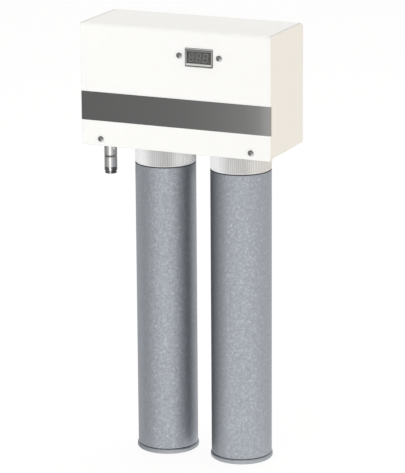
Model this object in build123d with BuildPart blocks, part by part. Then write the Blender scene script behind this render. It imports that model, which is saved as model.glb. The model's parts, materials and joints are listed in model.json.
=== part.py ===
from build123d import *
import os
from math import hypot, sqrt

os.makedirs("parts", exist_ok=True)

# A wall-mounted desiccant air dryer, in millimetres. X runs along the front, the front faces -Y
# and Z is up. The origin is the centre of the four wall holes, on the wall's plane.

# Cover: one sheet folded into front, top, rear lip and two sides
cover_width = 267.0
cover_depth = 108.0
cover_height = 160.5
cover_sheet = 1.5
upright_fold = 2.5  # outer radius of the folds between front and sides
top_fold = 4.0  # outer radius of the folds before and behind the top panel
rear_lip = 12.0
side_lift = 3.0  # the sides end this far above the front's lower edge
front_corner = 3.5
side_corner = 4.0
side_rear_corner = 8.0

# Stripe: a film over the whole front, which turns a little round both upright folds
stripe_lift = 33.0
stripe_height = 38.0
stripe_film = 0.25
stripe_wrap = 70.0  # degrees

# Display beside its two screws
display_x = 34.6
display_lift = 126.5
bezel_width = 37.0
bezel_height = 22.7
bezel_stand = 2.5
bezel_corner = 1.0
bezel_neck_depth = 6.0
window_width = 33.6
window_height = 15.6
window_thick = 1.5
window_set_back = 1.8
slope_width = 0.8  # the frame slopes in to the window, at its sides
slope_height = 2.0  # and above and below it
slope_depth = 1.6
bezel_edge = 0.3
seal_lip = 0.8
seal_sheet = 0.6
neck_wall = 0.9
neck_height_wall = 1.95
module_width = 37.6
module_height = 19.0
board_width = 68.0
board_height = 34.0
board_thick = 1.6
spacer_length = 8.0
spacer_radius = 3.5
display_screw_spacing = 55.3
display_screw_rise = 1.2

# M4 button-head screws and their nuts
screw_radius = 2.0
head_radius = 3.75
head_height = 2.2
head_dome = 1.6
head_key = 2.5  # across the flats of the key's socket
head_key_depth = 1.3
display_screw_length = 16.0
cover_screw_length = 10.0
cover_screw_inset = 27.8
cover_screw_lift = 8.8
nut_flats = 7.0
nut_height = 3.2
clinch_radius = 3.6
clinch_shank = 2.7
clinch_height = 4.0

# Chassis: one folded plate with front flange, shelf, back and a hook for the rear lip
plate = 2.0
plate_fold = 2.4  # outer radius
front_flange = 14.0
hook_reach = 5.0
hook_height = 9.0
fixing_drop = 55.5  # wall holes' centre below the cover's top
fixing_width = 210.0
fixing_rise = 60.0
fixing_hole = 3.5  # radius

# Columns
column_spacing = 107.3
column_shift = 15.55  # the pair's middle, right of the cover's middle
column_radius = 40.0
tube_wall = 2.5
tube_length = 386.5
collar_drop = 25.8  # the ribbed collar's lower rim below the cover
rib_count = 100
rib_depth = 0.9
rim_height = 1.8
seam_chamfer = 0.8
neck_radius = 23.0
plug_depth = 16.0
plug_wall = 4.4
boss_radius = 12.0
head_hollow = 24.0
port_count = 6
port_radius = 3.0
port_circle = 15.5
base_flange_radius = 41.2
base_flange_height = 6.1
base_plug = 22.0
base_hollow = 14.0
base_edge = 1.2
riser_radius = 8.0
riser_bore = 6.0
riser_hole = 2.0
riser_hole_height = 10.0
riser_thread_depth = 7.0
strainer_thick = 3.0
pad_thick = 6.0
seal_width = 2.6  # section of the ring seals
seal_depth = 8.0
base_screw_radius = 4.0
base_screw_head = 6.5
base_screw_head_height = 8.0
base_screw_length = 12.0
base_screw_key = 6.0
base_screw_recess = 8.5

# Manifold and its drillings, whose heights count from the shelf
manifold_height = 52.0
manifold_front = 30.0  # in front of the columns' axes
manifold_rear = 26.0
manifold_left_margin = 5.5
manifold_right_margin = 31.0
manifold_corner = 3.0
lug_width = 27.0
lug_margin = 10.2  # behind the outlet's axis
drill_overrun = 1.0
socket_depth = 16.0
socket_room = 3.0  # left free above the neck for the dry air
riser_seat = 6.0
riser_passage = 7.0
gallery_lift = 30.0
gallery_radius = 4.5
feed_offset = 22.0  # the feed gallery, in front of the columns' axes
dry_offset = 17.0  # the dry air gallery, behind them
dry_port = 4.0
shuttle_bore = 7.0
shuttle_room = 22.0
seat_length = 6.0
shuttle_travel = 3.0
shuttle_face = 5.8
shuttle_face_length = 2.0
shuttle_flute = 3.0
chamber_depth = 12.0
chamber_thread_depth = 5.0
chamber_radius = 10.0
chamber_thread = 12.0
nozzle_radius = 5.0
nozzle_height = 5.0
nozzle_bore = 2.5
exhaust_radius = 3.0
exhaust_lift = 44.0
silencer_offset = 20.0
silencer_thread = 5.9
plug_length = 8.0
small_plug_length = 3.5
plug_key = 0.5  # corner radius of the key's socket, as a share of the bore
manifold_screw_radius = 2.5
manifold_screw_length = 14.0
manifold_screw_head = 4.75
manifold_screw_head_height = 2.8
manifold_screw_inset = 9.5

# Exhaust valves
plunger_radius = 5.0
plunger_length = 22.0
plunger_travel = 1.5
pocket_radius = 2.6
pocket_depth = 12.0
spring_wire = 0.5
spring_radius = 2.0
spring_turns = 6.0
armature_radius = 6.5
armature_flats = 22.0
armature_flange = 3.0
coil_width = 28.0
coil_height = 30.0
coil_corner = 3.0
socket_reach = 11.0
socket_width = 16.0
socket_height = 18.0
stud_radius = 3.0
stud_length = 7.0
coil_nut_flats = 14.0
coil_nut_height = 4.5
silencer_radius = 6.5
silencer_hex_height = 5.0
silencer_length = 20.0
silencer_tip = 2.5

# Push-in fittings for a 10 mm tube
inlet_margin = 15.5  # from the cover's left side
outlet_x = 28.0
outlet_behind = 36.0  # behind the columns' axes
fitting_radius = 8.5
fitting_thread = 6.6
fitting_thread_length = 10.0
adapter_drop = 25.3  # the adapter's lower end below the cover
groove_height = 0.8
fitting_length = 14.2
joint_radius = 6.0
joint_length = 7.0
air_bore = 4.0
tube_bore = 5.1
tube_stop = 3.6  # below the fitting's shoulder
tube_seat = 5.0
cavity_radius = 6.65
cap_length = 5.8
cap_spigot = 2.2
cap_spigot_radius = 7.6
collet_flange = 8.0
collet_flange_height = 1.7
collet_edge = 0.4
collet_travel = 1.4
collet_reach = 6.1  # how far the collet stands in above the cap's lower face

# Cable gland
gland_x = -80.0
gland_behind = 38.0
gland_radius = 6.0
gland_flats = 15.0
gland_hex_height = 4.0
gland_tip = 1.0  # the body stands above its locknut
gland_nut_radius = 8.0
gland_nut_length = 12.0
gland_nut_edge = 3.0
gland_overlap = 6.0
gland_cable = 3.2

# Clearances
slide_gap = 0.05  # radial, between what slides and its bore
seat_gap = 0.1  # radial, between a plug or neck and its bore
thread_gap = 0.03
sheet_gap = 0.2  # between cover and chassis flange, and round screws in plain holes
loose_gap = 0.5  # radial, round what passes the shelf and round the base screws' heads
side_gap = 1.0  # between the chassis and the cover's sides
bed_gap = 0.2

# Places that follow from the sizes
side_x = cover_width / 2
front_y = -cover_depth
cover_top = fixing_drop
cover_bottom = cover_top - cover_height
display_z = cover_bottom + display_lift
shelf_under = cover_bottom + side_lift
shelf_top = shelf_under + plate
column_y = front_y / 2
columns = {
    "left": column_shift - column_spacing / 2,
    "right": column_shift + column_spacing / 2,
}
tube_inner = column_radius - tube_wall
rib_side = hypot(rib_depth, rib_depth)
collar_foot = cover_bottom - collar_drop
tube_foot = collar_foot - tube_length
base_foot = tube_foot - base_flange_height
plug_radius = tube_inner - seat_gap
plug_inner = tube_inner - plug_wall
plug_foot = collar_foot - plug_depth
base_plug_top = tube_foot + base_plug
neck_top = shelf_top + socket_depth - socket_room
riser_foot = base_plug_top - base_hollow
riser_top = shelf_top + socket_depth + riser_seat - seat_gap
strainer_foot = plug_foot - strainer_thick
bed_foot = base_plug_top + strainer_thick
bed_top = strainer_foot - pad_thick
gallery_z = shelf_top + gallery_lift
manifold_top = shelf_top + manifold_height
manifold_left = -side_x + manifold_left_margin
manifold_right = columns["right"] + manifold_right_margin
manifold_face = column_y - manifold_front
manifold_back = column_y + manifold_rear
inlet_x = -side_x + inlet_margin
outlet_y = column_y + outlet_behind
lug_back = outlet_y + lug_margin
feed_y = column_y - feed_offset
dry_y = column_y + dry_offset
chamber_foot = manifold_top - chamber_depth
ledge_z = manifold_top - chamber_thread_depth
plunger_foot = chamber_foot + nozzle_height
plunger_top = plunger_foot + plunger_length
pole_z = plunger_top + plunger_travel
coil_foot = manifold_top + armature_flange
coil_top = coil_foot + coil_height
gland_y = column_y + gland_behind
fittings = {"inlet": (inlet_x, column_y), "outlet": (outlet_x, outlet_y)}
shuttles = {
    "inlet": (column_shift - shuttle_room / 2, column_y),
    "outlet": (outlet_x - shuttle_room / 2, dry_y),
}
column_spots = [(x, column_y) for x in columns.values()]
screw_spots = {
    "display": [
        (display_x + hand * display_screw_spacing / 2, display_z + display_screw_rise)
        for hand in (-1, 1)
    ],
    "cover": [
        (hand * (side_x - cover_screw_inset), cover_bottom + cover_screw_lift)
        for hand in (-1, 1)
    ],
}
manifold_screw_spots = [
    (x, y)
    for x in (manifold_left + manifold_screw_inset, column_shift)
    for y in (manifold_face + manifold_screw_inset, manifold_back - manifold_screw_inset)
]
ON_FLOOR = (Align.CENTER, Align.CENTER, Align.MIN)
HANGING = (Align.CENTER, Align.CENTER, Align.MAX)


def hexagon_radius(flats):
    """Corner radius of a hexagon that measures flats across."""
    return flats / sqrt(3)


def upright(x, y):
    """Plane through an upright axis at x, y: its first direction is +X and its second +Z."""
    return Plane(origin=(x, y, 0), x_dir=(1, 0, 0), z_dir=(0, -1, 0))


def turned(x, y, *points):
    """Half section of a turned piece about the upright axis at x, y, as radius and height."""
    with BuildSketch(upright(x, y)) as section:
        with BuildLine():
            Polyline(*points, close=True)
        make_face()
    return section.sketch


def upright_axis(x, y):
    return Axis((x, y, 0), (0, 0, 1))


def finish(piece, name):
    piece.part.label = name
    export_step(piece.part, f"parts/{name}.step")


with BuildPart() as cover:
    # Front, top and rear lip are one strip, folded twice
    with BuildSketch(Plane.YZ):
        with BuildLine():
            FilletPolyline(
                (front_y, cover_bottom),
                (front_y, cover_top),
                (0, cover_top),
                (0, cover_top - rear_lip),
                radius=top_fold,
            )
            offset(amount=cover_sheet, side=Side.RIGHT)
        make_face()
    extrude(amount=side_x - upright_fold, both=True)
    # Each side is folded off the front, and its corner is trimmed to the round of the top fold
    with BuildSketch(Plane.XY.offset(cover_bottom)):
        with BuildLine():
            FilletPolyline(
                (side_x - 2 * upright_fold, front_y),
                (side_x, front_y),
                (side_x, front_y + 2 * upright_fold),
                radius=upright_fold,
            )
            offset(amount=cover_sheet, side=Side.LEFT)
        make_face()
    fold = extrude(amount=cover_height)
    side_foot = cover_bottom + side_lift
    with BuildSketch(Plane.YZ.offset(side_x)):
        with BuildLine():
            Polyline(
                (-side_corner, side_foot),
                (front_y + upright_fold, side_foot),
                (front_y + upright_fold, cover_top),
                (-side_rear_corner, cover_top),
            )
            CenterArc((-side_rear_corner, cover_top - side_rear_corner), side_rear_corner, 0, 90)
            Line((0, cover_top - side_rear_corner), (0, side_foot + side_corner))
            CenterArc((-side_corner, side_foot + side_corner), side_corner, -90, 90)
        make_face()
    side = extrude(amount=-cover_sheet)
    mirror(fold, about=Plane.YZ)
    mirror(side, about=Plane.YZ)
    with BuildSketch(Plane.YZ):
        with BuildLine():
            Polyline(
                (front_y, cover_top - top_fold),
                (front_y, cover_top),
                (front_y + top_fold, cover_top),
            )
            CenterArc((front_y + top_fold, cover_top - top_fold), top_fold, 90, 90)
        make_face()
    extrude(amount=side_x, both=True, mode=Mode.SUBTRACT)
    # Below the side panels the folds end at a rounded corner of the front
    with BuildSketch(Plane.XZ.offset(cover_depth)):
        with BuildLine():
            Polyline(
                (side_x - front_corner, cover_bottom),
                (side_x, cover_bottom),
                (side_x, cover_bottom + front_corner),
            )
            CenterArc(
                (side_x - front_corner, cover_bottom + front_corner), front_corner, -90, 90
            )
        make_face()
        mirror(about=Plane.YZ)
    extrude(amount=-upright_fold, mode=Mode.SUBTRACT)
    # Display cut-out and screw holes
    with BuildSketch(Plane.XZ.offset(cover_depth)):
        with Locations((display_x, display_z)):
            Rectangle(
                window_width + 2 * (neck_wall + seat_gap),
                window_height + 2 * (neck_height_wall + seat_gap),
            )
        with Locations(*screw_spots["display"], *screw_spots["cover"]):
            Circle(screw_radius + sheet_gap)
    extrude(amount=-2 * cover_sheet, mode=Mode.SUBTRACT)
finish(cover, "cover")

with BuildPart() as front_stripe:
    with BuildSketch(Plane.XY.offset(cover_bottom + stripe_lift)):
        with BuildLine():
            Line((0, front_y), (side_x - upright_fold, front_y))
            CenterArc(
                (side_x - upright_fold, front_y + upright_fold),
                upright_fold,
                -90,
                stripe_wrap,
            )
            offset(amount=stripe_film, side=Side.RIGHT)
        make_face()
        mirror(about=Plane.YZ)
    extrude(amount=stripe_height)
finish(front_stripe, "front_stripe")

with BuildPart() as display_seal:
    with BuildSketch(Plane.XZ.offset(cover_depth)):
        with Locations((display_x, display_z)):
            RectangleRounded(bezel_width + 2 * seal_lip, bezel_height + 2 * seal_lip, bezel_corner)
            Rectangle(
                window_width + 2 * (neck_wall + seat_gap),
                window_height + 2 * (neck_height_wall + seat_gap),
                mode=Mode.SUBTRACT,
            )
    extrude(amount=seal_sheet)
finish(display_seal, "display_seal")

with BuildPart() as display_bezel:
    with BuildSketch(Plane.XZ.offset(cover_depth + seal_sheet)):
        with Locations((display_x, display_z)):
            RectangleRounded(bezel_width, bezel_height, bezel_corner)
    extrude(amount=bezel_stand - seal_sheet)
    chamfer(display_bezel.faces().sort_by(Axis.Y)[0].edges(), bezel_edge)
    with BuildSketch(Plane.XZ.offset(cover_depth + seal_sheet)):
        with Locations((display_x, display_z)):
            Rectangle(window_width + 2 * neck_wall, window_height + 2 * neck_height_wall)
    extrude(amount=-bezel_neck_depth - seal_sheet)
    with BuildSketch(Plane.XZ.offset(cover_depth + bezel_stand)):
        with Locations((display_x, display_z)):
            Rectangle(window_width, window_height)
    extrude(amount=-bezel_stand - bezel_neck_depth, mode=Mode.SUBTRACT)
    with BuildSketch(Plane.XZ.offset(cover_depth + bezel_stand)):
        with Locations((display_x, display_z)):
            Rectangle(window_width + 2 * slope_width, window_height + 2 * slope_height)
    with BuildSketch(Plane.XZ.offset(cover_depth + bezel_stand - slope_depth)):
        with Locations((display_x, display_z)):
            Rectangle(window_width, window_height)
    loft(mode=Mode.SUBTRACT)
finish(display_bezel, "display_bezel")

window_front = cover_depth + bezel_stand - window_set_back
with BuildPart() as display_window:
    with BuildSketch(Plane.XZ.offset(window_front)):
        with Locations((display_x, display_z)):
            Rectangle(window_width - 2 * seat_gap, window_height - 2 * seat_gap)
    extrude(amount=-window_thick)
finish(display_window, "display_window")

board_front = cover_depth - cover_sheet - spacer_length
with BuildPart() as display_module:
    with BuildSketch(Plane.XZ.offset(window_front - window_thick)):
        with Locations((display_x, display_z)):
            Rectangle(window_width - 4 * seat_gap, window_height - 4 * seat_gap)
    extrude(amount=-(window_front - window_thick - board_front))
    with BuildSketch(Plane.XZ.offset(board_front)):
        with Locations((display_x, display_z)):
            Rectangle(module_width, module_height)
    extrude(amount=cover_depth - bezel_neck_depth - seat_gap - board_front)
finish(display_module, "display_module")

with BuildPart() as display_board:
    with BuildSketch(Plane.XZ.offset(board_front)):
        with Locations((display_x, display_z)):
            RectangleRounded(board_width, board_height, bezel_corner)
        with Locations(*screw_spots["display"]):
            Circle(screw_radius + sheet_gap, mode=Mode.SUBTRACT)
    extrude(amount=-board_thick)
finish(display_board, "display_board")

with BuildPart() as display_spacers:
    with BuildSketch(Plane.XZ.offset(board_front)):
        with Locations(*screw_spots["display"]):
            Circle(spacer_radius)
            Circle(screw_radius + seat_gap, mode=Mode.SUBTRACT)
    extrude(amount=spacer_length)
finish(display_spacers, "display_spacers")

for place, length in (("display", display_screw_length), ("cover", cover_screw_length)):
    with BuildPart() as button_screws:
        with BuildSketch(Plane.XZ.offset(cover_depth)):
            with Locations(*screw_spots[place]):
                Circle(head_radius)
        extrude(amount=head_height)
        fillet(button_screws.faces().group_by(Axis.Y)[0].edges(), head_dome)
        with BuildSketch(Plane.XZ.offset(cover_depth)):
            with Locations(*screw_spots[place]):
                Circle(screw_radius)
        extrude(amount=-length)
        with BuildSketch(Plane.XZ.offset(cover_depth + head_height)):
            with Locations(*screw_spots[place]):
                RegularPolygon(hexagon_radius(head_key), 6)
        extrude(amount=-head_key_depth, mode=Mode.SUBTRACT)
    finish(button_screws, f"{place}_screws")

with BuildPart() as display_nuts:
    with BuildSketch(Plane.XZ.offset(board_front - board_thick)):
        with Locations(*screw_spots["display"]):
            RegularPolygon(hexagon_radius(nut_flats), 6)
            Circle(screw_radius + thread_gap, mode=Mode.SUBTRACT)
    extrude(amount=-nut_height)
finish(display_nuts, "display_nuts")

flange_front = cover_depth - cover_sheet - sheet_gap
with BuildPart() as chassis:
    with BuildSketch(Plane.YZ):
        with BuildLine():
            FilletPolyline(
                (-flange_front, shelf_under + front_flange),
                (-flange_front, shelf_under),
                (0, shelf_under),
                (0, cover_top - rear_lip - side_gap),
                (-hook_reach, cover_top - rear_lip - side_gap),
                (-hook_reach, cover_top - rear_lip - side_gap + hook_height),
                radius=plate_fold,
            )
            offset(amount=plate, side=Side.LEFT)
        make_face()
    extrude(amount=side_x - cover_sheet - side_gap, both=True)
    with BuildSketch(Plane.XY.offset(shelf_under)):
        with Locations(*column_spots):
            Circle(neck_radius + loose_gap)
        with Locations(*fittings.values()):
            Circle(fitting_radius + loose_gap)
        with Locations((gland_x, gland_y)):
            Circle(gland_radius + seat_gap)
        with Locations(*manifold_screw_spots):
            Circle(manifold_screw_radius + sheet_gap)
    extrude(amount=plate, mode=Mode.SUBTRACT)
    with BuildSketch(Plane.XZ):
        with GridLocations(fixing_width, fixing_rise, 2, 2):
            Circle(fixing_hole)
    extrude(amount=plate, mode=Mode.SUBTRACT)
    with BuildSketch(Plane.XZ.offset(flange_front)):
        with Locations(*screw_spots["cover"]):
            Circle(clinch_shank + thread_gap)
    extrude(amount=-plate, mode=Mode.SUBTRACT)
finish(chassis, "chassis")

with BuildPart() as clinch_nuts:
    with BuildSketch(Plane.XZ.offset(flange_front)):
        with Locations(*screw_spots["cover"]):
            Circle(clinch_shank)
    extrude(amount=-plate)
    with BuildSketch(Plane.XZ.offset(flange_front - plate)):
        with Locations(*screw_spots["cover"]):
            Circle(clinch_radius)
    extrude(amount=-clinch_height)
    with BuildSketch(Plane.XZ.offset(flange_front)):
        with Locations(*screw_spots["cover"]):
            Circle(screw_radius + thread_gap)
    extrude(amount=-plate - clinch_height, mode=Mode.SUBTRACT)
finish(clinch_nuts, "clinch_nuts")

with BuildPart() as manifold:
    # Block with a lug behind for the outlet
    with BuildSketch(Plane.XY.offset(shelf_top)) as block:
        with Locations(((manifold_left + manifold_right) / 2, manifold_face)):
            Rectangle(
                manifold_right - manifold_left,
                manifold_front + manifold_rear,
                align=(Align.CENTER, Align.MIN),
            )
        with Locations((outlet_x, manifold_back)):
            Rectangle(
                lug_width,
                lug_back - manifold_back,
                align=(Align.CENTER, Align.MIN),
            )
        fillet(block.vertices(), manifold_corner)
    extrude(amount=manifold_height)
    for x in columns.values():
        # Socket for the neck, seat for the riser tube and the wet air's passage above it
        revolve(
            turned(
                x,
                column_y,
                (0, shelf_top),
                (neck_radius + seat_gap, shelf_top),
                (neck_radius + seat_gap, shelf_top + socket_depth),
                (riser_radius + seat_gap, shelf_top + socket_depth),
                (riser_radius + seat_gap, shelf_top + socket_depth + riser_seat),
                (riser_passage, shelf_top + socket_depth + riser_seat),
                (riser_passage, gallery_z + riser_passage),
                (nozzle_bore, gallery_z + riser_passage),
                (nozzle_bore, manifold_top),
                (0, manifold_top),
            ),
            axis=upright_axis(x, column_y),
            mode=Mode.SUBTRACT,
        )
        # Valve chamber round a raised nozzle
        revolve(
            turned(
                x,
                column_y,
                (nozzle_radius, chamber_foot),
                (chamber_radius, chamber_foot),
                (chamber_radius, ledge_z),
                (chamber_thread, ledge_z),
                (chamber_thread, manifold_top),
                (0, manifold_top),
                (0, plunger_foot),
                (nozzle_radius, plunger_foot),
            ),
            axis=upright_axis(x, column_y),
            mode=Mode.SUBTRACT,
        )
    # Dry air ports, silencer ports, and the ports of both fittings
    with BuildSketch(Plane.XY.offset(shelf_top + socket_depth)):
        with Locations(*[(x, dry_y) for x in columns.values()]):
            Circle(dry_port)
    extrude(amount=gallery_lift - socket_depth, mode=Mode.SUBTRACT)
    with BuildSketch(Plane.XY.offset(chamber_foot)):
        with Locations(*[(x, column_y - silencer_offset) for x in columns.values()]):
            Circle(silencer_thread)
    extrude(amount=chamber_depth, mode=Mode.SUBTRACT)
    with BuildSketch(Plane.XY.offset(shelf_top)):
        with Locations(*fittings.values()):
            Circle(fitting_thread)
    extrude(amount=fitting_thread_length + seat_gap, mode=Mode.SUBTRACT)
    with BuildSketch(Plane.XY.offset(shelf_top)):
        with Locations(*fittings.values()):
            Circle(gallery_radius)
    extrude(amount=gallery_lift, mode=Mode.SUBTRACT)
    # Drilled from the right end: both shuttle bores, then both galleries to the left column
    for start, y in shuttles.values():
        with BuildSketch(Plane.YZ.offset(manifold_right)):
            with Locations((y, gallery_z)):
                Circle(shuttle_bore)
        extrude(amount=-(manifold_right - start), mode=Mode.SUBTRACT)
        with BuildSketch(Plane.YZ.offset(start)):
            with Locations((y, gallery_z)):
                Circle(gallery_radius)
        extrude(amount=-(start - columns["left"]), mode=Mode.SUBTRACT)
    # Drilled from the left end: the feed to the inlet shuttle
    with BuildSketch(Plane.YZ.offset(manifold_left)):
        with Locations((feed_y, gallery_z)):
            Circle(gallery_radius)
    extrude(amount=column_shift - manifold_left, mode=Mode.SUBTRACT)
    # Drilled from the front: two links to the feed, and the exhausts of both valves
    with BuildSketch(Plane.XZ.offset(-manifold_face)):
        with Locations((inlet_x, gallery_z), (column_shift, gallery_z)):
            Circle(gallery_radius)
    extrude(amount=-manifold_front, mode=Mode.SUBTRACT)
    with BuildSketch(Plane.XZ.offset(-manifold_face)):
        with Locations(*[(x, shelf_top + exhaust_lift) for x in columns.values()]):
            Circle(exhaust_radius)
    extrude(amount=-(manifold_front - chamber_radius + drill_overrun), mode=Mode.SUBTRACT)
    # Drilled from the lug: the link from the outlet shuttle to the outlet
    with BuildSketch(Plane.XZ.offset(-dry_y)):
        with Locations((outlet_x, gallery_z)):
            Circle(gallery_radius)
    extrude(amount=-(lug_back - dry_y), mode=Mode.SUBTRACT)
    # Tapped holes for the screws from below
    with BuildSketch(Plane.XY.offset(shelf_top)):
        with Locations(*manifold_screw_spots):
            Circle(manifold_screw_radius + thread_gap)
    extrude(amount=manifold_screw_length, mode=Mode.SUBTRACT)
finish(manifold, "manifold")

with BuildPart() as manifold_screws:
    with BuildSketch(Plane.XY.offset(shelf_under)):
        with Locations(*manifold_screw_spots):
            Circle(manifold_screw_head)
    extrude(amount=-manifold_screw_head_height)
    chamfer(manifold_screws.edges().group_by(Axis.Z)[0], head_height / 2)
    with BuildSketch(Plane.XY.offset(shelf_under)):
        with Locations(*manifold_screw_spots):
            Circle(manifold_screw_radius)
    extrude(amount=manifold_screw_length)
finish(manifold_screws, "manifold_screws")

# Screwed plugs close the drillings: each row has a plane, spots, the bore and the plug's length
plug_rows = [
    (
        Plane.YZ.offset(manifold_right),
        [(y, gallery_z) for start, y in shuttles.values()],
        shuttle_bore,
        -plug_length,
    ),
    (Plane.YZ.offset(manifold_left), [(feed_y, gallery_z)], gallery_radius, plug_length),
    (
        Plane.XZ.offset(-manifold_face),
        [(inlet_x, gallery_z), (column_shift, gallery_z)],
        gallery_radius,
        -small_plug_length,
    ),
    (
        Plane.XZ.offset(-manifold_face),
        [(x, shelf_top + exhaust_lift) for x in columns.values()],
        exhaust_radius,
        -small_plug_length,
    ),
    (Plane.XZ.offset(-lug_back), [(outlet_x, gallery_z)], gallery_radius, small_plug_length),
]
with BuildPart() as gallery_plugs:
    for plane, spots, bore, length in plug_rows:
        with BuildSketch(plane.offset(length / 2)):
            with Locations(*spots):
                Circle(bore - thread_gap)
        extrude(amount=length / 2)
        with BuildSketch(plane):
            with Locations(*spots):
                Circle(bore - thread_gap)
                RegularPolygon(bore * plug_key, 6, mode=Mode.SUBTRACT)
        extrude(amount=length / 2)
finish(gallery_plugs, "gallery_plugs")

for side, x in columns.items():
    with BuildPart() as column_head:
        # Neck, collar rim, plug with its seal groove, and the hollow under the collar
        revolve(
            turned(
                x,
                column_y,
                (riser_radius + seat_gap, neck_top),
                (neck_radius - seam_chamfer, neck_top),
                (neck_radius, neck_top - seam_chamfer),
                (neck_radius, shelf_top + seal_depth + seal_width),
                (neck_radius - seal_width, shelf_top + seal_depth + seal_width),
                (neck_radius - seal_width, shelf_top + seal_depth),
                (neck_radius, shelf_top + seal_depth),
                (neck_radius, shelf_under),
                (column_radius - rib_depth, shelf_under),
                (column_radius - rib_depth, collar_foot + rim_height),
                (column_radius, collar_foot + rim_height),
                (column_radius, collar_foot + seam_chamfer),
                (column_radius - seam_chamfer, collar_foot),
                (plug_radius, collar_foot),
                (plug_radius, collar_foot - seal_depth),
                (plug_radius - seal_width, collar_foot - seal_depth),
                (plug_radius - seal_width, collar_foot - seal_depth - seal_width),
                (plug_radius, collar_foot - seal_depth - seal_width),
                (plug_radius, plug_foot),
                (plug_inner, plug_foot),
                (plug_inner, plug_foot + head_hollow),
                (boss_radius, plug_foot + head_hollow),
                (boss_radius, plug_foot),
                (riser_radius + seat_gap, plug_foot),
            ),
            axis=upright_axis(x, column_y),
        )
        # Upright ribs all round the collar, above its rim
        with BuildSketch(Plane((x, column_y, collar_foot + rim_height))):
            Circle(column_radius)
            with PolarLocations(column_radius, rib_count):
                Rectangle(rib_side, rib_side, rotation=45, mode=Mode.SUBTRACT)
            Circle(plug_radius, mode=Mode.SUBTRACT)
        extrude(amount=shelf_under - collar_foot - rim_height)
        # Dry air ports
        with BuildSketch(Plane((x, column_y, plug_foot + head_hollow))):
            with PolarLocations(port_circle, port_count):
                Circle(port_radius)
        extrude(amount=neck_top - plug_foot - head_hollow, mode=Mode.SUBTRACT)
    finish(column_head, f"column_head_{side}")

    with BuildPart() as column_tube:
        with BuildSketch(Plane((x, column_y, tube_foot))):
            Circle(column_radius)
            Circle(tube_inner, mode=Mode.SUBTRACT)
        extrude(amount=tube_length)
        rims = column_tube.edges().filter_by(GeomType.CIRCLE)
        chamfer([rim for rim in rims if rim.radius > tube_inner + slide_gap], seam_chamfer)
    finish(column_tube, f"column_tube_{side}")

    with BuildPart() as base_cap:
        revolve(
            turned(
                x,
                column_y,
                (base_screw_radius + sheet_gap, riser_foot),
                (plug_inner, riser_foot),
                (plug_inner, base_plug_top),
                (plug_radius, base_plug_top),
                (plug_radius, tube_foot + seal_depth + seal_width),
                (plug_radius - seal_width, tube_foot + seal_depth + seal_width),
                (plug_radius - seal_width, tube_foot + seal_depth),
                (plug_radius, tube_foot + seal_depth),
                (plug_radius, tube_foot),
                (base_flange_radius, tube_foot),
                (base_flange_radius, base_foot),
                (base_screw_head + loose_gap, base_foot),
                (base_screw_head + loose_gap, base_foot + base_screw_recess),
                (base_screw_radius + sheet_gap, base_foot + base_screw_recess),
            ),
            axis=upright_axis(x, column_y),
        )
        rims = base_cap.edges().filter_by(GeomType.CIRCLE)
        chamfer([rim for rim in rims if rim.radius > column_radius], base_edge)
    finish(base_cap, f"base_cap_{side}")

    with BuildPart() as riser_tube:
        revolve(
            turned(
                x,
                column_y,
                (base_screw_radius + thread_gap, riser_foot),
                (riser_radius, riser_foot),
                (riser_radius, riser_top),
                (riser_bore, riser_top),
                (riser_bore, riser_foot + riser_thread_depth),
                (base_screw_radius + thread_gap, riser_foot + riser_thread_depth),
            ),
            axis=upright_axis(x, column_y),
        )
        with BuildSketch(Plane.XZ.offset(-column_y)):
            with Locations((x, riser_foot + riser_hole_height)):
                Circle(riser_hole)
        extrude(amount=riser_radius, both=True, mode=Mode.SUBTRACT)
        with BuildSketch(Plane.YZ.offset(x)):
            with Locations((column_y, riser_foot + riser_hole_height)):
                Circle(riser_hole)
        extrude(amount=riser_radius, both=True, mode=Mode.SUBTRACT)
    finish(riser_tube, f"riser_tube_{side}")

    # Discs with a hole for the riser: both strainers, the pad and the bed between them
    discs = {
        "upper_strainer": (strainer_foot, strainer_thick),
        "bed_pad": (bed_top, pad_thick),
        "desiccant_bed": (bed_foot, bed_top - bed_foot),
        "lower_strainer": (base_plug_top, strainer_thick),
    }
    for name, (foot, thick) in discs.items():
        with BuildPart() as disc:
            with BuildSketch(Plane((x, column_y, foot))):
                Circle(tube_inner - bed_gap)
                Circle(riser_radius + bed_gap, mode=Mode.SUBTRACT)
            extrude(amount=thick)
        finish(disc, f"{name}_{side}")

    with BuildPart() as solenoid_coil:
        with BuildSketch(Plane((x, column_y, coil_foot))) as winding:
            Rectangle(coil_width, coil_width)
            fillet(winding.vertices(), coil_corner)
            with Locations((coil_width / 2, 0)):
                Rectangle(socket_reach, socket_width, align=(Align.MIN, Align.CENTER))
            Circle(armature_radius + seat_gap, mode=Mode.SUBTRACT)
        extrude(amount=socket_height)
        with BuildSketch(Plane((x, column_y, coil_foot + socket_height))) as crown:
            Rectangle(coil_width, coil_width)
            fillet(crown.vertices(), coil_corner)
            Circle(armature_radius + seat_gap, mode=Mode.SUBTRACT)
        extrude(amount=coil_height - socket_height)
        chamfer(solenoid_coil.faces().sort_by(Axis.Z)[-1].outer_wire().edges(), seam_chamfer)
    finish(solenoid_coil, f"solenoid_coil_{side}")

    with BuildPart() as armature_tube:
        revolve(
            turned(
                x,
                column_y,
                (0, pole_z),
                (plunger_radius + slide_gap, pole_z),
                (plunger_radius + slide_gap, ledge_z),
                (chamber_thread - thread_gap, ledge_z),
                (chamber_thread - thread_gap, manifold_top),
                (armature_radius, manifold_top),
                (armature_radius, coil_top),
                (stud_radius, coil_top),
                (stud_radius, coil_top + stud_length),
                (0, coil_top + stud_length),
            ),
            axis=upright_axis(x, column_y),
        )
        with BuildSketch(Plane((x, column_y, manifold_top))):
            RegularPolygon(hexagon_radius(armature_flats), 6)
            Circle(armature_radius, mode=Mode.SUBTRACT)
        extrude(amount=armature_flange)
    finish(armature_tube, f"armature_tube_{side}")

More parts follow.
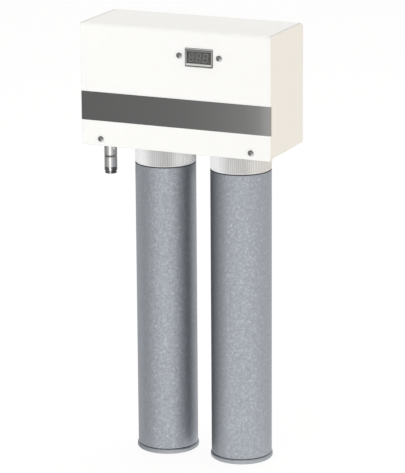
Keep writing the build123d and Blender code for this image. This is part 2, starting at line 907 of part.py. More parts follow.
    with BuildPart() as plunger:
        revolve(
            turned(
                x,
                column_y,
                (0, plunger_foot),
                (plunger_radius - seam_chamfer, plunger_foot),
                (plunger_radius, plunger_foot + seam_chamfer),
                (plunger_radius, plunger_top),
                (pocket_radius, plunger_top),
                (pocket_radius, plunger_top - pocket_depth),
                (0, plunger_top - pocket_depth),
            ),
            axis=upright_axis(x, column_y),
        )
    finish(plunger, f"plunger_{side}")

    spring_room = pole_z - plunger_top + pocket_depth - spring_wire - 2 * slide_gap
    with BuildPart() as plunger_spring:
        with BuildLine():
            coil_line = Helix(
                pitch=spring_room / spring_turns,
                height=spring_room,
                radius=spring_radius,
                center=(x, column_y, plunger_top - pocket_depth + spring_wire / 2 + slide_gap),
            )
        with BuildSketch(Plane(origin=coil_line @ 0, z_dir=coil_line % 0)):
            Rectangle(spring_wire, spring_wire)
        sweep(is_frenet=True)
    finish(plunger_spring, f"plunger_spring_{side}")

    silencer_y = column_y - silencer_offset
    silencer_foot = shelf_top + exhaust_lift + exhaust_radius
    with BuildPart() as silencer:
        revolve(
            turned(
                x,
                silencer_y,
                (0, silencer_foot),
                (silencer_thread - thread_gap, silencer_foot),
                (silencer_thread - thread_gap, manifold_top),
                (silencer_radius - seam_chamfer, manifold_top),
                (silencer_radius - seam_chamfer, manifold_top + silencer_length),
                (0, manifold_top + silencer_length),
            ),
            axis=upright_axis(x, silencer_y),
        )
        chamfer(silencer.edges().group_by(Axis.Z)[-1], silencer_tip)
        with BuildSketch(Plane((x, silencer_y, manifold_top))):
            RegularPolygon(silencer_radius, 6)
        extrude(amount=silencer_hex_height)
    finish(silencer, f"silencer_{side}")

with BuildPart() as column_seals:
    for x in columns.values():
        with BuildSketch(Plane((x, column_y, shelf_top + seal_depth + slide_gap))):
            Circle(neck_radius + seat_gap - thread_gap)
            Circle(neck_radius - seal_width + slide_gap, mode=Mode.SUBTRACT)
        extrude(amount=seal_width - 2 * slide_gap)
        for foot in (collar_foot - seal_depth - seal_width, tube_foot + seal_depth):
            with BuildSketch(Plane((x, column_y, foot + slide_gap))):
                Circle(tube_inner - thread_gap)
                Circle(plug_radius - seal_width + slide_gap, mode=Mode.SUBTRACT)
            extrude(amount=seal_width - 2 * slide_gap)
finish(column_seals, "column_seals")

with BuildPart() as base_screws:
    for x in columns.values():
        head_foot = base_foot + base_screw_recess - base_screw_head_height
        with Locations((x, column_y, head_foot)):
            Cylinder(base_screw_head, base_screw_head_height, align=ON_FLOOR)
        with Locations((x, column_y, head_foot + base_screw_head_height)):
            Cylinder(base_screw_radius, base_screw_length, align=ON_FLOOR)
        with BuildSketch(Plane((x, column_y, head_foot))):
            RegularPolygon(hexagon_radius(base_screw_key), 6)
        extrude(amount=base_screw_head_height / 2, mode=Mode.SUBTRACT)
finish(base_screws, "base_screws")

with BuildPart() as coil_nuts:
    for x in columns.values():
        with BuildSketch(Plane((x, column_y, coil_top))):
            RegularPolygon(hexagon_radius(coil_nut_flats), 6)
            Circle(stud_radius + thread_gap, mode=Mode.SUBTRACT)
        extrude(amount=coil_nut_height)
finish(coil_nuts, "coil_nuts")

for name, (start, y) in shuttles.items():
    # Fluted shuttle between two flat sealing faces, resting on the left seat
    with BuildPart() as shuttle:
        with BuildSketch(Plane.YZ.offset(start)):
            with Locations((y, gallery_z)):
                Circle(shuttle_face)
        extrude(amount=shuttle_room - shuttle_travel)
        with BuildSketch(Plane.YZ.offset(start + shuttle_face_length)):
            with Locations((y, gallery_z)):
                Circle(shuttle_bore - slide_gap)
                with PolarLocations(shuttle_bore, 4):
                    Circle(shuttle_flute, mode=Mode.SUBTRACT)
        extrude(amount=shuttle_room - shuttle_travel - 2 * shuttle_face_length)
    finish(shuttle, f"{name}_shuttle")

with BuildPart() as shuttle_seats:
    for start, y in shuttles.values():
        with BuildSketch(Plane.YZ.offset(start + shuttle_room)):
            with Locations((y, gallery_z)):
                Circle(shuttle_bore - thread_gap)
                Circle(gallery_radius, mode=Mode.SUBTRACT)
        extrude(amount=seat_length)
finish(shuttle_seats, "shuttle_seats")

adapter_foot = cover_bottom - adapter_drop
fitting_top = adapter_foot - groove_height
fitting_foot = fitting_top - fitting_length
stop_z = fitting_top - tube_stop
seat_foot = stop_z - tube_seat
cap_foot = fitting_foot - cap_length
for name, (x, y) in fittings.items():
    with BuildPart() as adapter:
        revolve(
            turned(
                x,
                y,
                (air_bore, shelf_top + fitting_thread_length),
                (fitting_thread - thread_gap, shelf_top + fitting_thread_length),
                (fitting_thread - thread_gap, shelf_top),
                (fitting_radius, shelf_top),
                (fitting_radius, adapter_foot + seam_chamfer / 2),
                (fitting_radius - seam_chamfer / 2, adapter_foot),
                (joint_radius + thread_gap, adapter_foot),
                (joint_radius + thread_gap, fitting_top + joint_length + seat_gap),
                (air_bore, fitting_top + joint_length + seat_gap),
            ),
            axis=upright_axis(x, y),
        )
    finish(adapter, f"{name}_adapter")

    with BuildPart() as fitting:
        revolve(
            turned(
                x,
                y,
                (air_bore, fitting_top + joint_length),
                (joint_radius, fitting_top + joint_length),
                (joint_radius, fitting_top),
                (fitting_radius - seam_chamfer / 2, fitting_top),
                (fitting_radius, fitting_top - seam_chamfer / 2),
                (fitting_radius, fitting_foot),
                (cap_spigot_radius + thread_gap, fitting_foot),
                (cap_spigot_radius + thread_gap, fitting_foot + cap_spigot),
                (cavity_radius, fitting_foot + cap_spigot),
                (cavity_radius, seat_foot),
                (tube_bore, seat_foot),
                (tube_bore, stop_z),
                (air_bore, stop_z),
            ),
            axis=upright_axis(x, y),
        )
    finish(fitting, f"{name}_fitting")

    with BuildPart() as fitting_cap:
        revolve(
            turned(
                x,
                y,
                (cavity_radius, fitting_foot + cap_spigot),
                (cap_spigot_radius, fitting_foot + cap_spigot),
                (cap_spigot_radius, fitting_foot),
                (fitting_radius, fitting_foot),
                (fitting_radius, cap_foot + seam_chamfer),
                (fitting_radius - seam_chamfer, cap_foot),
                (cavity_radius, cap_foot),
            ),
            axis=upright_axis(x, y),
        )
    finish(fitting_cap, f"{name}_fitting_cap")

    with BuildPart() as collet:
        flange_top = cap_foot - collet_travel - seat_gap
        revolve(
            turned(
                x,
                y,
                (tube_bore + slide_gap, cap_foot + collet_reach),
                (cavity_radius - slide_gap, cap_foot + collet_reach),
                (cavity_radius - slide_gap, flange_top),
                (collet_flange, flange_top),
                (collet_flange, flange_top - collet_flange_height),
                (tube_bore + slide_gap, flange_top - collet_flange_height),
            ),
            axis=upright_axis(x, y),
        )
        rims = collet.edges().filter_by(GeomType.CIRCLE)
        chamfer([rim for rim in rims if rim.radius > cavity_radius], collet_edge)
    finish(collet, f"{name}_collet")

with BuildPart() as fitting_seals:
    with BuildSketch(Plane.XY.offset(seat_foot - slide_gap)):
        with Locations(*fittings.values()):
            Circle(cavity_radius - slide_gap)
            Circle(tube_bore + slide_gap, mode=Mode.SUBTRACT)
    extrude(amount=-(seat_foot - slide_gap - cap_foot - collet_reach - collet_travel - slide_gap))
finish(fitting_seals, "fitting_seals")

with BuildPart() as cable_gland_body:
    with BuildSketch(Plane.XY.offset(shelf_under)):
        with Locations((gland_x, gland_y)):
            RegularPolygon(hexagon_radius(gland_flats), 6)
    extrude(amount=-gland_hex_height)
    with Locations((gland_x, gland_y, shelf_under)):
        Cylinder(gland_radius, plate + gland_hex_height + gland_tip, align=ON_FLOOR)
        Cylinder(gland_radius, gland_hex_height + gland_overlap, align=HANGING)
        Cylinder(gland_cable, 2 * (gland_hex_height + gland_overlap), mode=Mode.SUBTRACT)
finish(cable_gland_body, "cable_gland_body")

with BuildPart() as cable_gland_nut:
    nut_top = shelf_under - gland_hex_height
    nut_foot = nut_top - gland_nut_length
    with BuildSketch(Plane.XY.offset(nut_top)):
        with Locations((gland_x, gland_y)):
            RegularPolygon(gland_nut_radius, 6)
    extrude(amount=-gland_nut_length)
    revolve(
        turned(
            gland_x,
            gland_y,
            (gland_radius + thread_gap, nut_top),
            (gland_nut_radius, nut_top),
            (gland_nut_radius, nut_foot + gland_nut_edge),
            (gland_nut_radius - gland_nut_edge, nut_foot),
            (gland_cable, nut_foot),
            (gland_cable, nut_top - gland_overlap - seat_gap),
            (gland_radius + thread_gap, nut_top - gland_overlap - seat_gap),
        ),
        axis=upright_axis(gland_x, gland_y),
        mode=Mode.INTERSECT,
    )
finish(cable_gland_nut, "cable_gland_nut")

with BuildPart() as gland_locknut:
    with BuildSketch(Plane.XY.offset(shelf_top)):
        with Locations((gland_x, gland_y)):
            RegularPolygon(hexagon_radius(gland_flats), 6)
            Circle(gland_radius + thread_gap, mode=Mode.SUBTRACT)
    extrude(amount=gland_hex_height)
finish(gland_locknut, "gland_locknut")
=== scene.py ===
import json

import bpy
import numpy as np
from mathutils import Matrix, Vector


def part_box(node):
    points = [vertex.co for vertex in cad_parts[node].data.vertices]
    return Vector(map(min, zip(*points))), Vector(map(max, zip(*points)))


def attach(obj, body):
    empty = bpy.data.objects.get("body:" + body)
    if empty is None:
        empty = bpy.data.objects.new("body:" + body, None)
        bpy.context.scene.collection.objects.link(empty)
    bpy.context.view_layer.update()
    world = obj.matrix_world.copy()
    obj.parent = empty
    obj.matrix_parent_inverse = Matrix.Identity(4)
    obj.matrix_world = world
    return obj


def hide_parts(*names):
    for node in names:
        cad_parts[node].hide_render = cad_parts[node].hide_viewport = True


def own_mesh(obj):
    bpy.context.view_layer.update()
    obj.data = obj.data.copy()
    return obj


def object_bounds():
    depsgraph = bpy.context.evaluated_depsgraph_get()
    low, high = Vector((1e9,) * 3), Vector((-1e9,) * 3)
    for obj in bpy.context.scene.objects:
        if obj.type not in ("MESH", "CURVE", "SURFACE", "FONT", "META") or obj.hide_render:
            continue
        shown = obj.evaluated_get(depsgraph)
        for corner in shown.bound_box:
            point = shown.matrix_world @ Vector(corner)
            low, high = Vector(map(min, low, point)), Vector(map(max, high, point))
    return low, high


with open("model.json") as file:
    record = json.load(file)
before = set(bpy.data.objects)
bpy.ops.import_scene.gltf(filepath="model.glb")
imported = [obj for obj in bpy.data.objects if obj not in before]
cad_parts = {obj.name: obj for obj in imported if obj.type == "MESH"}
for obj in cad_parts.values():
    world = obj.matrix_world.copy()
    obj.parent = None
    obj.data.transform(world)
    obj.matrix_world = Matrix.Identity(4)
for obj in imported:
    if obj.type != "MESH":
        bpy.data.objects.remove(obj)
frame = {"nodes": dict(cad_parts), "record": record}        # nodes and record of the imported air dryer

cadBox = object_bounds()
print("frame loaded:", len(frame["nodes"]), "nodes")


# A node of the given kind. Values go by socket name or number, and one that is a socket is linked
def put(tree, kind, values=None, **settings):
    node = tree.nodes.new(kind)
    for label, value in settings.items():
        setattr(node, label, value)
    for label, value in (values or {}).items():
        if isinstance(value, bpy.types.NodeSocket):
            tree.links.new(value, node.inputs[label])
        else:
            node.inputs[label].default_value = value
    return node


def maths(tree, operation, a, b=0.0, clamp=False):
    return put(tree, "ShaderNodeMath", {0: a, 1: b}, operation=operation, use_clamp=clamp).outputs[0]


def vectors(tree, operation, a, b):
    return put(tree, "ShaderNodeVectorMath", {0: a, 1: b}, operation=operation).outputs[0]


def dot(tree, a, b):
    return put(tree, "ShaderNodeVectorMath", {0: a, 1: b}, operation="DOT_PRODUCT").outputs[1]


def parted(tree, vector):
    return put(tree, "ShaderNodeSeparateXYZ", {0: vector}).outputs


# A vector without its height
def levelled(tree, vector):
    return vectors(tree, "MULTIPLY", vector, (1, 1, 0))


def faceNormal(tree):
    return put(tree, "ShaderNodeNewGeometry").outputs["Normal"]


def ramped(tree, value, low, high, outLow=0.0, outHigh=1.0, smooth=False):
    kind = "SMOOTHSTEP" if smooth else "LINEAR"
    values = {"Value": value, "From Min": low, "From Max": high, "To Min": outLow, "To Max": outHigh}
    return put(tree, "ShaderNodeMapRange", values, interpolation_type=kind).outputs[0]


def noisy(tree, vector, scale, detail=2.0, rough=0.5):
    values = {"Vector": vector, "Scale": scale, "Detail": detail, "Roughness": rough}
    return put(tree, "ShaderNodeTexNoise", values).outputs[0]


# Two values added in shares that make one
def shared(tree, share, a, b):
    return maths(tree, "ADD", maths(tree, "MULTIPLY", a, 1 - share), maths(tree, "MULTIPLY", b, share))


def blended(tree, share, a, b, mode="MIX"):
    values = {0: share, 6: a, 7: b}
    return put(tree, "ShaderNodeMix", values, data_type="RGBA", blend_type=mode).outputs[2]


def times(tree, a, b):
    return blended(tree, 1.0, a, b, "MULTIPLY")


def grey(tree, value):
    return put(tree, "ShaderNodeCombineColor", {0: value, 1: value, 2: value}).outputs[0]


def rgba(colour):
    return (*colour, 1.0)


# A colour made darker or paler
def gained(colour, gain, lift=0.0):
    return rgba(min(1.0, channel * gain + lift) for channel in colour)


# Greys between a few given places, smoothly joined
def toned(tree, value, steps, join="EASE"):
    ramp = put(tree, "ShaderNodeValToRGB", {"Fac": value})
    tones = ramp.color_ramp
    tones.interpolation = join
    for number, (spot, tone) in enumerate(steps):
        entry = tones.elements[number] if number < 2 else tones.elements.new(spot)    # a ramp starts with two
        entry.position = spot
        entry.color = rgba((tone, tone, tone))
    return ramp.outputs[0]


# Shared effects, each a group built once. All lengths are metres on Object coordinates
def openGroup(name, takes, gives):
    group = bpy.data.node_groups.new(name, "ShaderNodeTree")
    for label, start in takes.items():
        kind = {float: "NodeSocketFloat", tuple: "NodeSocketColor", str: "NodeSocketVector"}[type(start)]
        socket = group.interface.new_socket(name=label, in_out="INPUT", socket_type=kind)
        if kind != "NodeSocketVector":
            socket.default_value = start
    for label, kind in gives.items():
        group.interface.new_socket(name=label, in_out="OUTPUT", socket_type="NodeSocket" + kind)
    return group, group.nodes.new("NodeGroupInput").outputs, group.nodes.new("NodeGroupOutput").inputs


speckleLook = {
    "fine": {"detail": 3.0, "rough": 0.62},
    "broadRate": 0.31,        # of the fine spots' rate
    "broadShare": 0.35,
    "span": (0.32, 0.68),     # of the noise, which rarely leaves it
}


# Fine spots of two sizes over a base colour: colour = base x (1 + depth x (spots - half))
def buildSpeckle():
    takes = {"Vector": "vector", "Base": rgba((0.5, 0.5, 0.5)), "Size": 0.002, "Depth": 0.1}
    group, given, out = openGroup("speckle", takes, {"Color": "Color", "Spots": "Float"})
    rate = maths(group, "DIVIDE", 1.0, given["Size"])
    fine = noisy(group, given["Vector"], rate, **speckleLook["fine"])
    broad = noisy(group, given["Vector"], maths(group, "MULTIPLY", rate, speckleLook["broadRate"]))
    spots = ramped(group, shared(group, speckleLook["broadShare"], fine, broad), *speckleLook["span"])
    swing = maths(group, "MULTIPLY", maths(group, "SUBTRACT", spots, 0.5), given["Depth"])
    gain = maths(group, "ADD", swing, 1.0)
    group.links.new(times(group, given["Base"], grey(group, gain)), out["Color"])
    group.links.new(spots, out["Spots"])
    return group


streakLook = {"grain": {"detail": 4.0, "rough": 0.6}, "span": (0.3, 0.7)}


# Streaks: noise on coordinates squeezed along one direction, so that each spot is drawn out
def buildStreaks():
    takes = {"Vector": "vector", "Squeeze": "vector", "Size": 0.0005}
    group, given, out = openGroup("streaks", takes, {"Streaks": "Float"})
    drawn = vectors(group, "MULTIPLY", given["Vector"], given["Squeeze"])
    fine = noisy(group, drawn, maths(group, "DIVIDE", 1.0, given["Size"]), **streakLook["grain"])
    group.links.new(ramped(group, fine, *streakLook["span"]), out["Streaks"])
    return group


peelLook = {"detail": 1.0, "fineRate": 3.3, "fineShare": 0.25}


# Skin of sprayed powder: soft low bumps of one size with a finer set on them
def buildPeel():
    takes = {"Vector": "vector", "Size": 0.0015}
    group, given, out = openGroup("orangePeel", takes, {"Height": "Float"})
    rate = maths(group, "DIVIDE", 1.0, given["Size"])
    fineRate = maths(group, "MULTIPLY", rate, peelLook["fineRate"])
    soft = noisy(group, given["Vector"], rate, peelLook["detail"])
    fine = noisy(group, given["Vector"], fineRate, peelLook["detail"])
    group.links.new(shared(group, peelLook["fineShare"], soft, fine), out["Height"])
    return group


wearLook = {"patchRate": 260.0, "patchDetail": 4.0, "patchSpan": (0.35, 0.65)}


# Worn edges: where the rounded normal turns away from the real one, broken up by noise
def buildWear():
    takes = {"Vector": "vector", "Rounded": "vector", "Gain": 6.0}
    group, given, out = openGroup("edgeWear", takes, {"Mask": "Float"})
    turned = maths(group, "SUBTRACT", 1.0, dot(group, faceNormal(group), given["Rounded"]))
    noise = noisy(group, given["Vector"], wearLook["patchRate"], wearLook["patchDetail"])
    patchy = ramped(group, noise, *wearLook["patchSpan"])
    strong = maths(group, "MULTIPLY", turned, given["Gain"])
    group.links.new(maths(group, "MULTIPLY", strong, patchy, clamp=True), out["Mask"])
    return group


dustLook = {
    "upSpan": (0.2, 1.0),     # how far a face looks up, from where more dust lies to where it is thickest
    "upDust": (0.12, 1.0),
    "patchRate": 34.0,
    "patchDetail": 5.0,
    "patchSpan": (0.35, 0.7),
}


# Dust: thicker where a face looks up, in soft patches
def buildDust():
    takes = {"Vector": "vector", "Amount": 0.2}
    group, given, out = openGroup("dust", takes, {"Mask": "Float"})
    lying = ramped(group, parted(group, faceNormal(group))[2], *dustLook["upSpan"], *dustLook["upDust"])
    noise = noisy(group, given["Vector"], dustLook["patchRate"], dustLook["patchDetail"])
    patches = ramped(group, noise, *dustLook["patchSpan"])
    laid = maths(group, "MULTIPLY", lying, patches)
    group.links.new(maths(group, "MULTIPLY", laid, given["Amount"], clamp=True), out["Mask"])
    return group


columnRight = (0.914, 0.405, 0.0)    # level direction along which the columns' painted light and shade change


# Ribbed collars: distance from the nearer column's axis, from the grooves' bottom to the ribs' tops,
# and the place round the column, 0 at its left and 1 at its right side
def buildGrooves():
    takes = {"Vector": "vector", "Left": "vector", "Right": "vector", "Bottom": 0.0391, "Top": 0.04}
    group, given, out = openGroup("grooves", takes, {"Mask": "Float", "Round": "Float"})
    spans, rounds = [], []
    for side in ("Left", "Right"):
        level = levelled(group, vectors(group, "SUBTRACT", given["Vector"], given[side]))
        spans.append(put(group, "ShaderNodeVectorMath", {0: level}, operation="LENGTH").outputs[1])
        rounds.append(maths(group, "DIVIDE", dot(group, level, columnRight), spans[-1]))
    nearest = maths(group, "MINIMUM", *spans)
    group.links.new(ramped(group, nearest, given["Bottom"], given["Top"]), out["Mask"])
    onLeft = maths(group, "LESS_THAN", *spans)
    chosen = put(group, "ShaderNodeMix", {0: onLeft, 2: rounds[1], 3: rounds[0]}).outputs[0]
    group.links.new(ramped(group, chosen, -1.0, 1.0), out["Round"])
    return group


# Dark joint lines: how near a point is to one of two levels, 1 within half a width and 0 a width away
def buildJoints():
    takes = {"Vector": "vector", "Upper": 0.0, "Lower": 0.0, "Width": 0.001}
    group, given, out = openGroup("joints", takes, {"Mask": "Float"})
    level = parted(group, given["Vector"])[2]
    away = [
        maths(group, "ABSOLUTE", maths(group, "SUBTRACT", level, given[end])) for end in ("Upper", "Lower")
    ]
    nearest = maths(group, "MINIMUM", *away)
    inner = maths(group, "MULTIPLY", given["Width"], 0.5)
    group.links.new(ramped(group, nearest, inner, given["Width"], 1.0, 0.0), out["Mask"])
    return group


studioLook = {
    "front": (0.407, -0.913, 0.0),    # level directions of the studio
    "right": (0.913, 0.407, 0.0),
    "frontSpan": (0.25, 0.97),        # how far a direction points there, where the band starts and is full
    "rightSpan": (-0.75, 0.55),
}


# Soft studio for shiny faces: brightest in front, and paler on the right than on the left
def buildStudio():
    takes = {"Vector": "vector", "Left": 0.42, "Right": 0.74}
    group, given, out = openGroup("studioGloss", takes, {"Strength": "Float"})
    level = levelled(group, given["Vector"])
    aim = put(group, "ShaderNodeVectorMath", {0: level}, operation="NORMALIZE").outputs[0]
    forward = dot(group, aim, studioLook["front"])
    aside = dot(group, aim, studioLook["right"])
    window = ramped(group, forward, *studioLook["frontSpan"], 0.0, 1.0, True)
    wide = ramped(group, aside, *studioLook["rightSpan"], given["Left"], given["Right"], True)
    rest = maths(group, "MULTIPLY", maths(group, "SUBTRACT", 1.0, wide), window)
    group.links.new(maths(group, "ADD", wide, rest), out["Strength"])
    return group


speckle = buildSpeckle()
streaks = buildStreaks()
orangePeel = buildPeel()
edgeWear = buildWear()
dust = buildDust()
grooves = buildGrooves()
joints = buildJoints()
studioGloss = buildStudio()
print("shared effects built")


# A shared effect placed in a tree with its own values
def effect(tree, group, values):
    return put(tree, "ShaderNodeGroup", values, node_tree=group).outputs


def spotted(tree, place, base, size, depth):
    return effect(tree, speckle, {"Vector": place, "Base": base, "Size": size, "Depth": depth})


# An empty material with its Principled node and the Object coordinates
def openMaterial(name, shader):
    material = bpy.data.materials.new(name)
    material.use_nodes = True
    tree = material.node_tree
    tree.nodes.clear()
    skin = put(tree, "ShaderNodeBsdfPrincipled", shader)
    put(tree, "ShaderNodeOutputMaterial", {"Surface": skin.outputs[0]})
    return material, tree, skin.inputs, put(tree, "ShaderNodeTexCoord").outputs["Object"]


def roundedNormal(tree, look):
    return put(tree, "ShaderNodeBevel", {"Radius": look["edge"]}, samples=4).outputs[0]


def bumped(tree, skin, height, depth, normal):
    values = {"Height": height, "Distance": depth, "Normal": normal}
    tree.links.new(put(tree, "ShaderNodeBump", values).outputs[0], skin["Normal"])


# Roughness from the look's lower value to its upper one, by a mask
def roughened(tree, skin, mask, look):
    tree.links.new(ramped(tree, mask, 0.0, 1.0, *look["roughness"]), skin["Roughness"])


# Sheet metal with powder coat
caseCoat = {
    "colour": (0.900, 0.902, 0.894),
    "IOR": 1.5,
    "mottleSize": 0.011,
    "mottleDepth": 0.012,
    "roughness": (0.42, 0.50),
    "peelSize": 0.0013,
    "peelDepth": 0.000022,
    "edge": 0.0009,
    "dustColour": (0.80, 0.785, 0.75),
    "dustAmount": 0.16,
    "dustRoughness": 0.25,    # added under full dust
}


def coatedSheet(name, look):
    material, tree, skin, place = openMaterial(name, {"IOR": look["IOR"]})
    rounded = roundedNormal(tree, look)
    spots = spotted(tree, place, rgba(look["colour"]), look["mottleSize"], look["mottleDepth"])
    laid = effect(tree, dust, {"Vector": place, "Amount": look["dustAmount"]})["Mask"]
    tree.links.new(blended(tree, laid, spots["Color"], rgba(look["dustColour"])), skin["Base Color"])
    gloss = ramped(tree, spots["Spots"], 0.0, 1.0, *look["roughness"])
    dulled = maths(tree, "MULTIPLY", laid, look["dustRoughness"])
    tree.links.new(maths(tree, "ADD", gloss, dulled), skin["Roughness"])
    peel = effect(tree, orangePeel, {"Vector": place, "Size": look["peelSize"]})["Height"]
    bumped(tree, skin, peel, look["peelDepth"], rounded)
    return material


# Printed film on the front: grey that lightens to the right, with fine grain along it
stripeLook = {
    "tones": (
        (0.0, 0.072), (0.45, 0.091), (0.58, 0.097), (0.72, 0.115), (0.86, 0.147), (0.94, 0.178),
        (1.0, 0.310),
    ),
    "IOR": 1.46,
    "edge": 0.0001,
    "spotSize": 0.0012,
    "spotDepth": 0.07,
    "grainSize": 0.0007,
    "grainSqueeze": (0.12, 1.0, 1.0),
    "grainBump": 0.000006,
    "roughness": (0.30, 0.42),
}


def printedFilm(name, look):
    material, tree, skin, place = openMaterial(name, {"IOR": look["IOR"]})
    rounded = roundedNormal(tree, look)
    low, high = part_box("front_stripe")
    across = ramped(tree, parted(tree, place)[0], low[0], high[0])
    fading = toned(tree, across, look["tones"], "B_SPLINE")
    values = {"Vector": place, "Squeeze": look["grainSqueeze"], "Size": look["grainSize"]}
    lines = effect(tree, streaks, values)["Streaks"]
    spots = spotted(tree, place, fading, look["spotSize"], look["spotDepth"])
    tree.links.new(spots["Color"], skin["Base Color"])
    roughened(tree, skin, lines, look)
    bumped(tree, skin, lines, look["grainBump"], rounded)
    return material


# Metals: base colour with speckle, drawn streaks, dark joint lines and bare brighter edges, and on some painted light
# and shade by where a face looks
def axisOf(nodeName):
    low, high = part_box(nodeName)
    return ((low[0] + high[0]) / 2, (low[1] + high[1]) / 2, 0.0)


columnAxes = {"Left": axisOf("column_tube_left"), "Right": axisOf("column_tube_right")}
metalShared = {"streakGain": 0.55, "bareGain": 1.25}    # streaks and worn edges against the colour
tubeLook = {
    "metallic": 1.0, "roughness": (0.46, 0.58), "spotSize": 0.0012, "spotDepth": 0.52,
    "sparkShare": 0.56, "sparkSpan": (0.66, 0.92), "sparkGain": 1.7,
    "streakSqueeze": (1.0, 1.0, 0.03), "streakSize": 0.0011, "streakShare": 0.10,
    "bump": 0.00007, "edge": 0.0005, "wear": 1.0,
    "jointLevels": (-0.1308, -0.5173), "jointWidth": 0.0014, "jointTone": (0.045, 0.047, 0.052),
    # Painted sparkle: the speckle and its bright sparks are strongest in the tube's lit middle and fade towards its
    # sides
    "grainTones": ((0.08, 0.40), (0.32, 1.0), (0.60, 1.0), (0.92, 0.60)),
}
headLook = {
    "colour": (0.905, 0.910, 0.920), "metallic": 0.08, "roughness": (0.34, 0.46), "spotSize": 0.0012,
    "spotDepth": 0.08, "streakSqueeze": (1.0, 1.0, 10.0), "streakSize": 0.0040, "streakShare": 0.06,
    "bump": 0.00001, "edge": 0.0003, "wear": 3.0,
    # Painted shade down in the collars' grooves, to grooveTone at their bottom
    "ribs": {"Bottom": 0.0391, "Top": 0.04}, "grooveTone": 0.78,    # radii of the grooves and of the ribs
}
metalLooks = {
    "tube": {
        **tubeLook, "colour": (0.464, 0.489, 0.531),
        # Painted reflection and shade: a pale left edge and a dark band where the tube mirrors its neighbour
        "sideTones": (
            (0.03, 1.0), (0.16, 0.84), (0.42, 0.92), (0.55, 0.89), (0.71, 0.77), (0.82, 0.92), (0.95, 0.91),
        ),
    },
    "tubeRight": {
        **tubeLook, "colour": (0.420, 0.443, 0.480),
        # Painted shade on the side that looks at the left column
        "shadedSide": (-1.0, 0.0, 0.0), "shadedSpan": (0.06, 0.76), "shadedTone": 0.54,
    },
    "base": {
        "colour": (0.435, 0.455, 0.484), "metallic": 1.0, "roughness": (0.40, 0.50), "spotSize": 0.0016,
        "spotDepth": 0.12, "streakSqueeze": (1.0, 1.0, 14.0), "streakSize": 0.0040, "streakShare": 0.10,
        "bump": 0.00002, "edge": 0.0006, "wear": 5.0,
        # Painted shade: the caps are darker towards their left and right sides
        "sideTones": ((0.03, 0.84), (0.25, 0.92), (0.50, 1.0), (0.75, 0.94), (0.97, 0.86)),
    },
    # Painted light and shade round each collar: palest on its left, darker in the middle; the left collar, which has a
    # lamp of its own, gets darker tones with a pale right side
    "head": {**headLook, "roundTones": ((0.12, 1.0), (0.30, 0.77), (0.52, 0.72), (0.74, 0.92))},
    "headLeft": {
        **headLook, "roundTones": ((0.12, 0.94), (0.30, 0.66), (0.52, 0.585), (0.74, 0.92), (0.90, 1.0)),
    },
    "manifold": {
        "colour": (0.620, 0.625, 0.635), "metallic": 1.0, "roughness": (0.30, 0.42), "spotSize": 0.0016,
        "spotDepth": 0.08, "streakSqueeze": (0.05, 1.0, 1.0), "streakSize": 0.0009, "streakShare": 0.12,
        "bump": 0.00001, "edge": 0.0005, "wear": 4.0,
    },
    "riser": {
        "colour": (0.560, 0.565, 0.575), "metallic": 1.0, "roughness": (0.26, 0.38), "spotSize": 0.0014,
        "spotDepth": 0.10, "streakSqueeze": (1.0, 1.0, 0.02), "streakSize": 0.0006, "streakShare": 0.16,
        "bump": 0.00001, "edge": 0.0003, "wear": 2.0,
    },
    "brass": {
        "colour": (0.660, 0.500, 0.225), "metallic": 1.0, "roughness": (0.22, 0.36), "spotSize": 0.0014,
        "spotDepth": 0.14, "streakSqueeze": (1.0, 1.0, 10.0), "streakSize": 0.0030, "streakShare": 0.08,
        "bump": 0.00001, "edge": 0.0004, "wear": 3.0,
    },
    "nickel": {
        "colour": (0.440, 0.440, 0.445), "metallic": 1.0, "roughness": (0.20, 0.30), "spotSize": 0.0010,
        "spotDepth": 0.10, "streakSqueeze": (1.0, 1.0, 1.0), "streakSize": 0.0010, "streakShare": 0.05,
        "bump": 0.00001, "edge": 0.0003, "wear": 3.0,
    },
    "screws": {
        "colour": (0.290, 0.288, 0.282), "metallic": 1.0, "roughness": (0.22, 0.32), "spotSize": 0.0012,
        "spotDepth": 0.16, "streakSqueeze": (1.0, 1.0, 6.0), "streakSize": 0.0020, "streakShare": 0.06,
        "bump": 0.00001, "edge": 0.0003, "wear": 3.0,
    },
    "buttons": {
        "colour": (0.420, 0.420, 0.415), "metallic": 1.0, "roughness": (0.22, 0.32), "spotSize": 0.0012,
        "spotDepth": 0.12, "streakSqueeze": (1.0, 6.0, 1.0), "streakSize": 0.0020, "streakShare": 0.05,
        "bump": 0.00001, "edge": 0.0002, "wear": 0.5,
        # Painted shade and glint: domes dark above and on their left, a glint below on their right
        "glintSide": (0.43, -0.81, -0.33), "glintSpan": (0.82, 0.96), "glintTone": 1.1,
        "domeSpan": (0.20, 0.80), "domeTones": (0.16, 0.62),
    },
    "steel": {
        "colour": (0.520, 0.520, 0.525), "metallic": 1.0, "roughness": (0.22, 0.34), "spotSize": 0.0014,
        "spotDepth": 0.10, "streakSqueeze": (1.0, 1.0, 12.0), "streakSize": 0.0030, "streakShare": 0.10,
        "bump": 0.00001, "edge": 0.0004, "wear": 3.0,
    },
    "chrome": {
        "colour": (0.960, 0.960, 0.955), "metallic": 0.90, "roughness": (0.10, 0.16), "spotSize": 0.0012,
        "spotDepth": 0.06, "streakSqueeze": (1.0, 1.0, 12.0), "streakSize": 0.0030, "streakShare": 0.04,
        "bump": 0.000004, "edge": 0.0003, "wear": 0.5,
        "jointLevels": (-0.1307, -0.1307), "jointWidth": 0.0024, "jointTone": (0.580, 0.580, 0.575),
        # Painted reflection: light and dark bands round the fitting, darkest at its right edge
        "sideTones": (
            (0.10, 0.34), (0.30, 0.46), (0.55, 0.51), (0.67, 0.47), (0.75, 1.0), (0.84, 1.0), (0.90, 0.34),
            (0.97, 0.12),
        ),
    },
}


# How far a face looks to the columns' right: 0 on their left side, 1 on their right side
def lookingRight(tree):
    return ramped(tree, dot(tree, faceNormal(tree), columnRight), -1.0, 1.0)


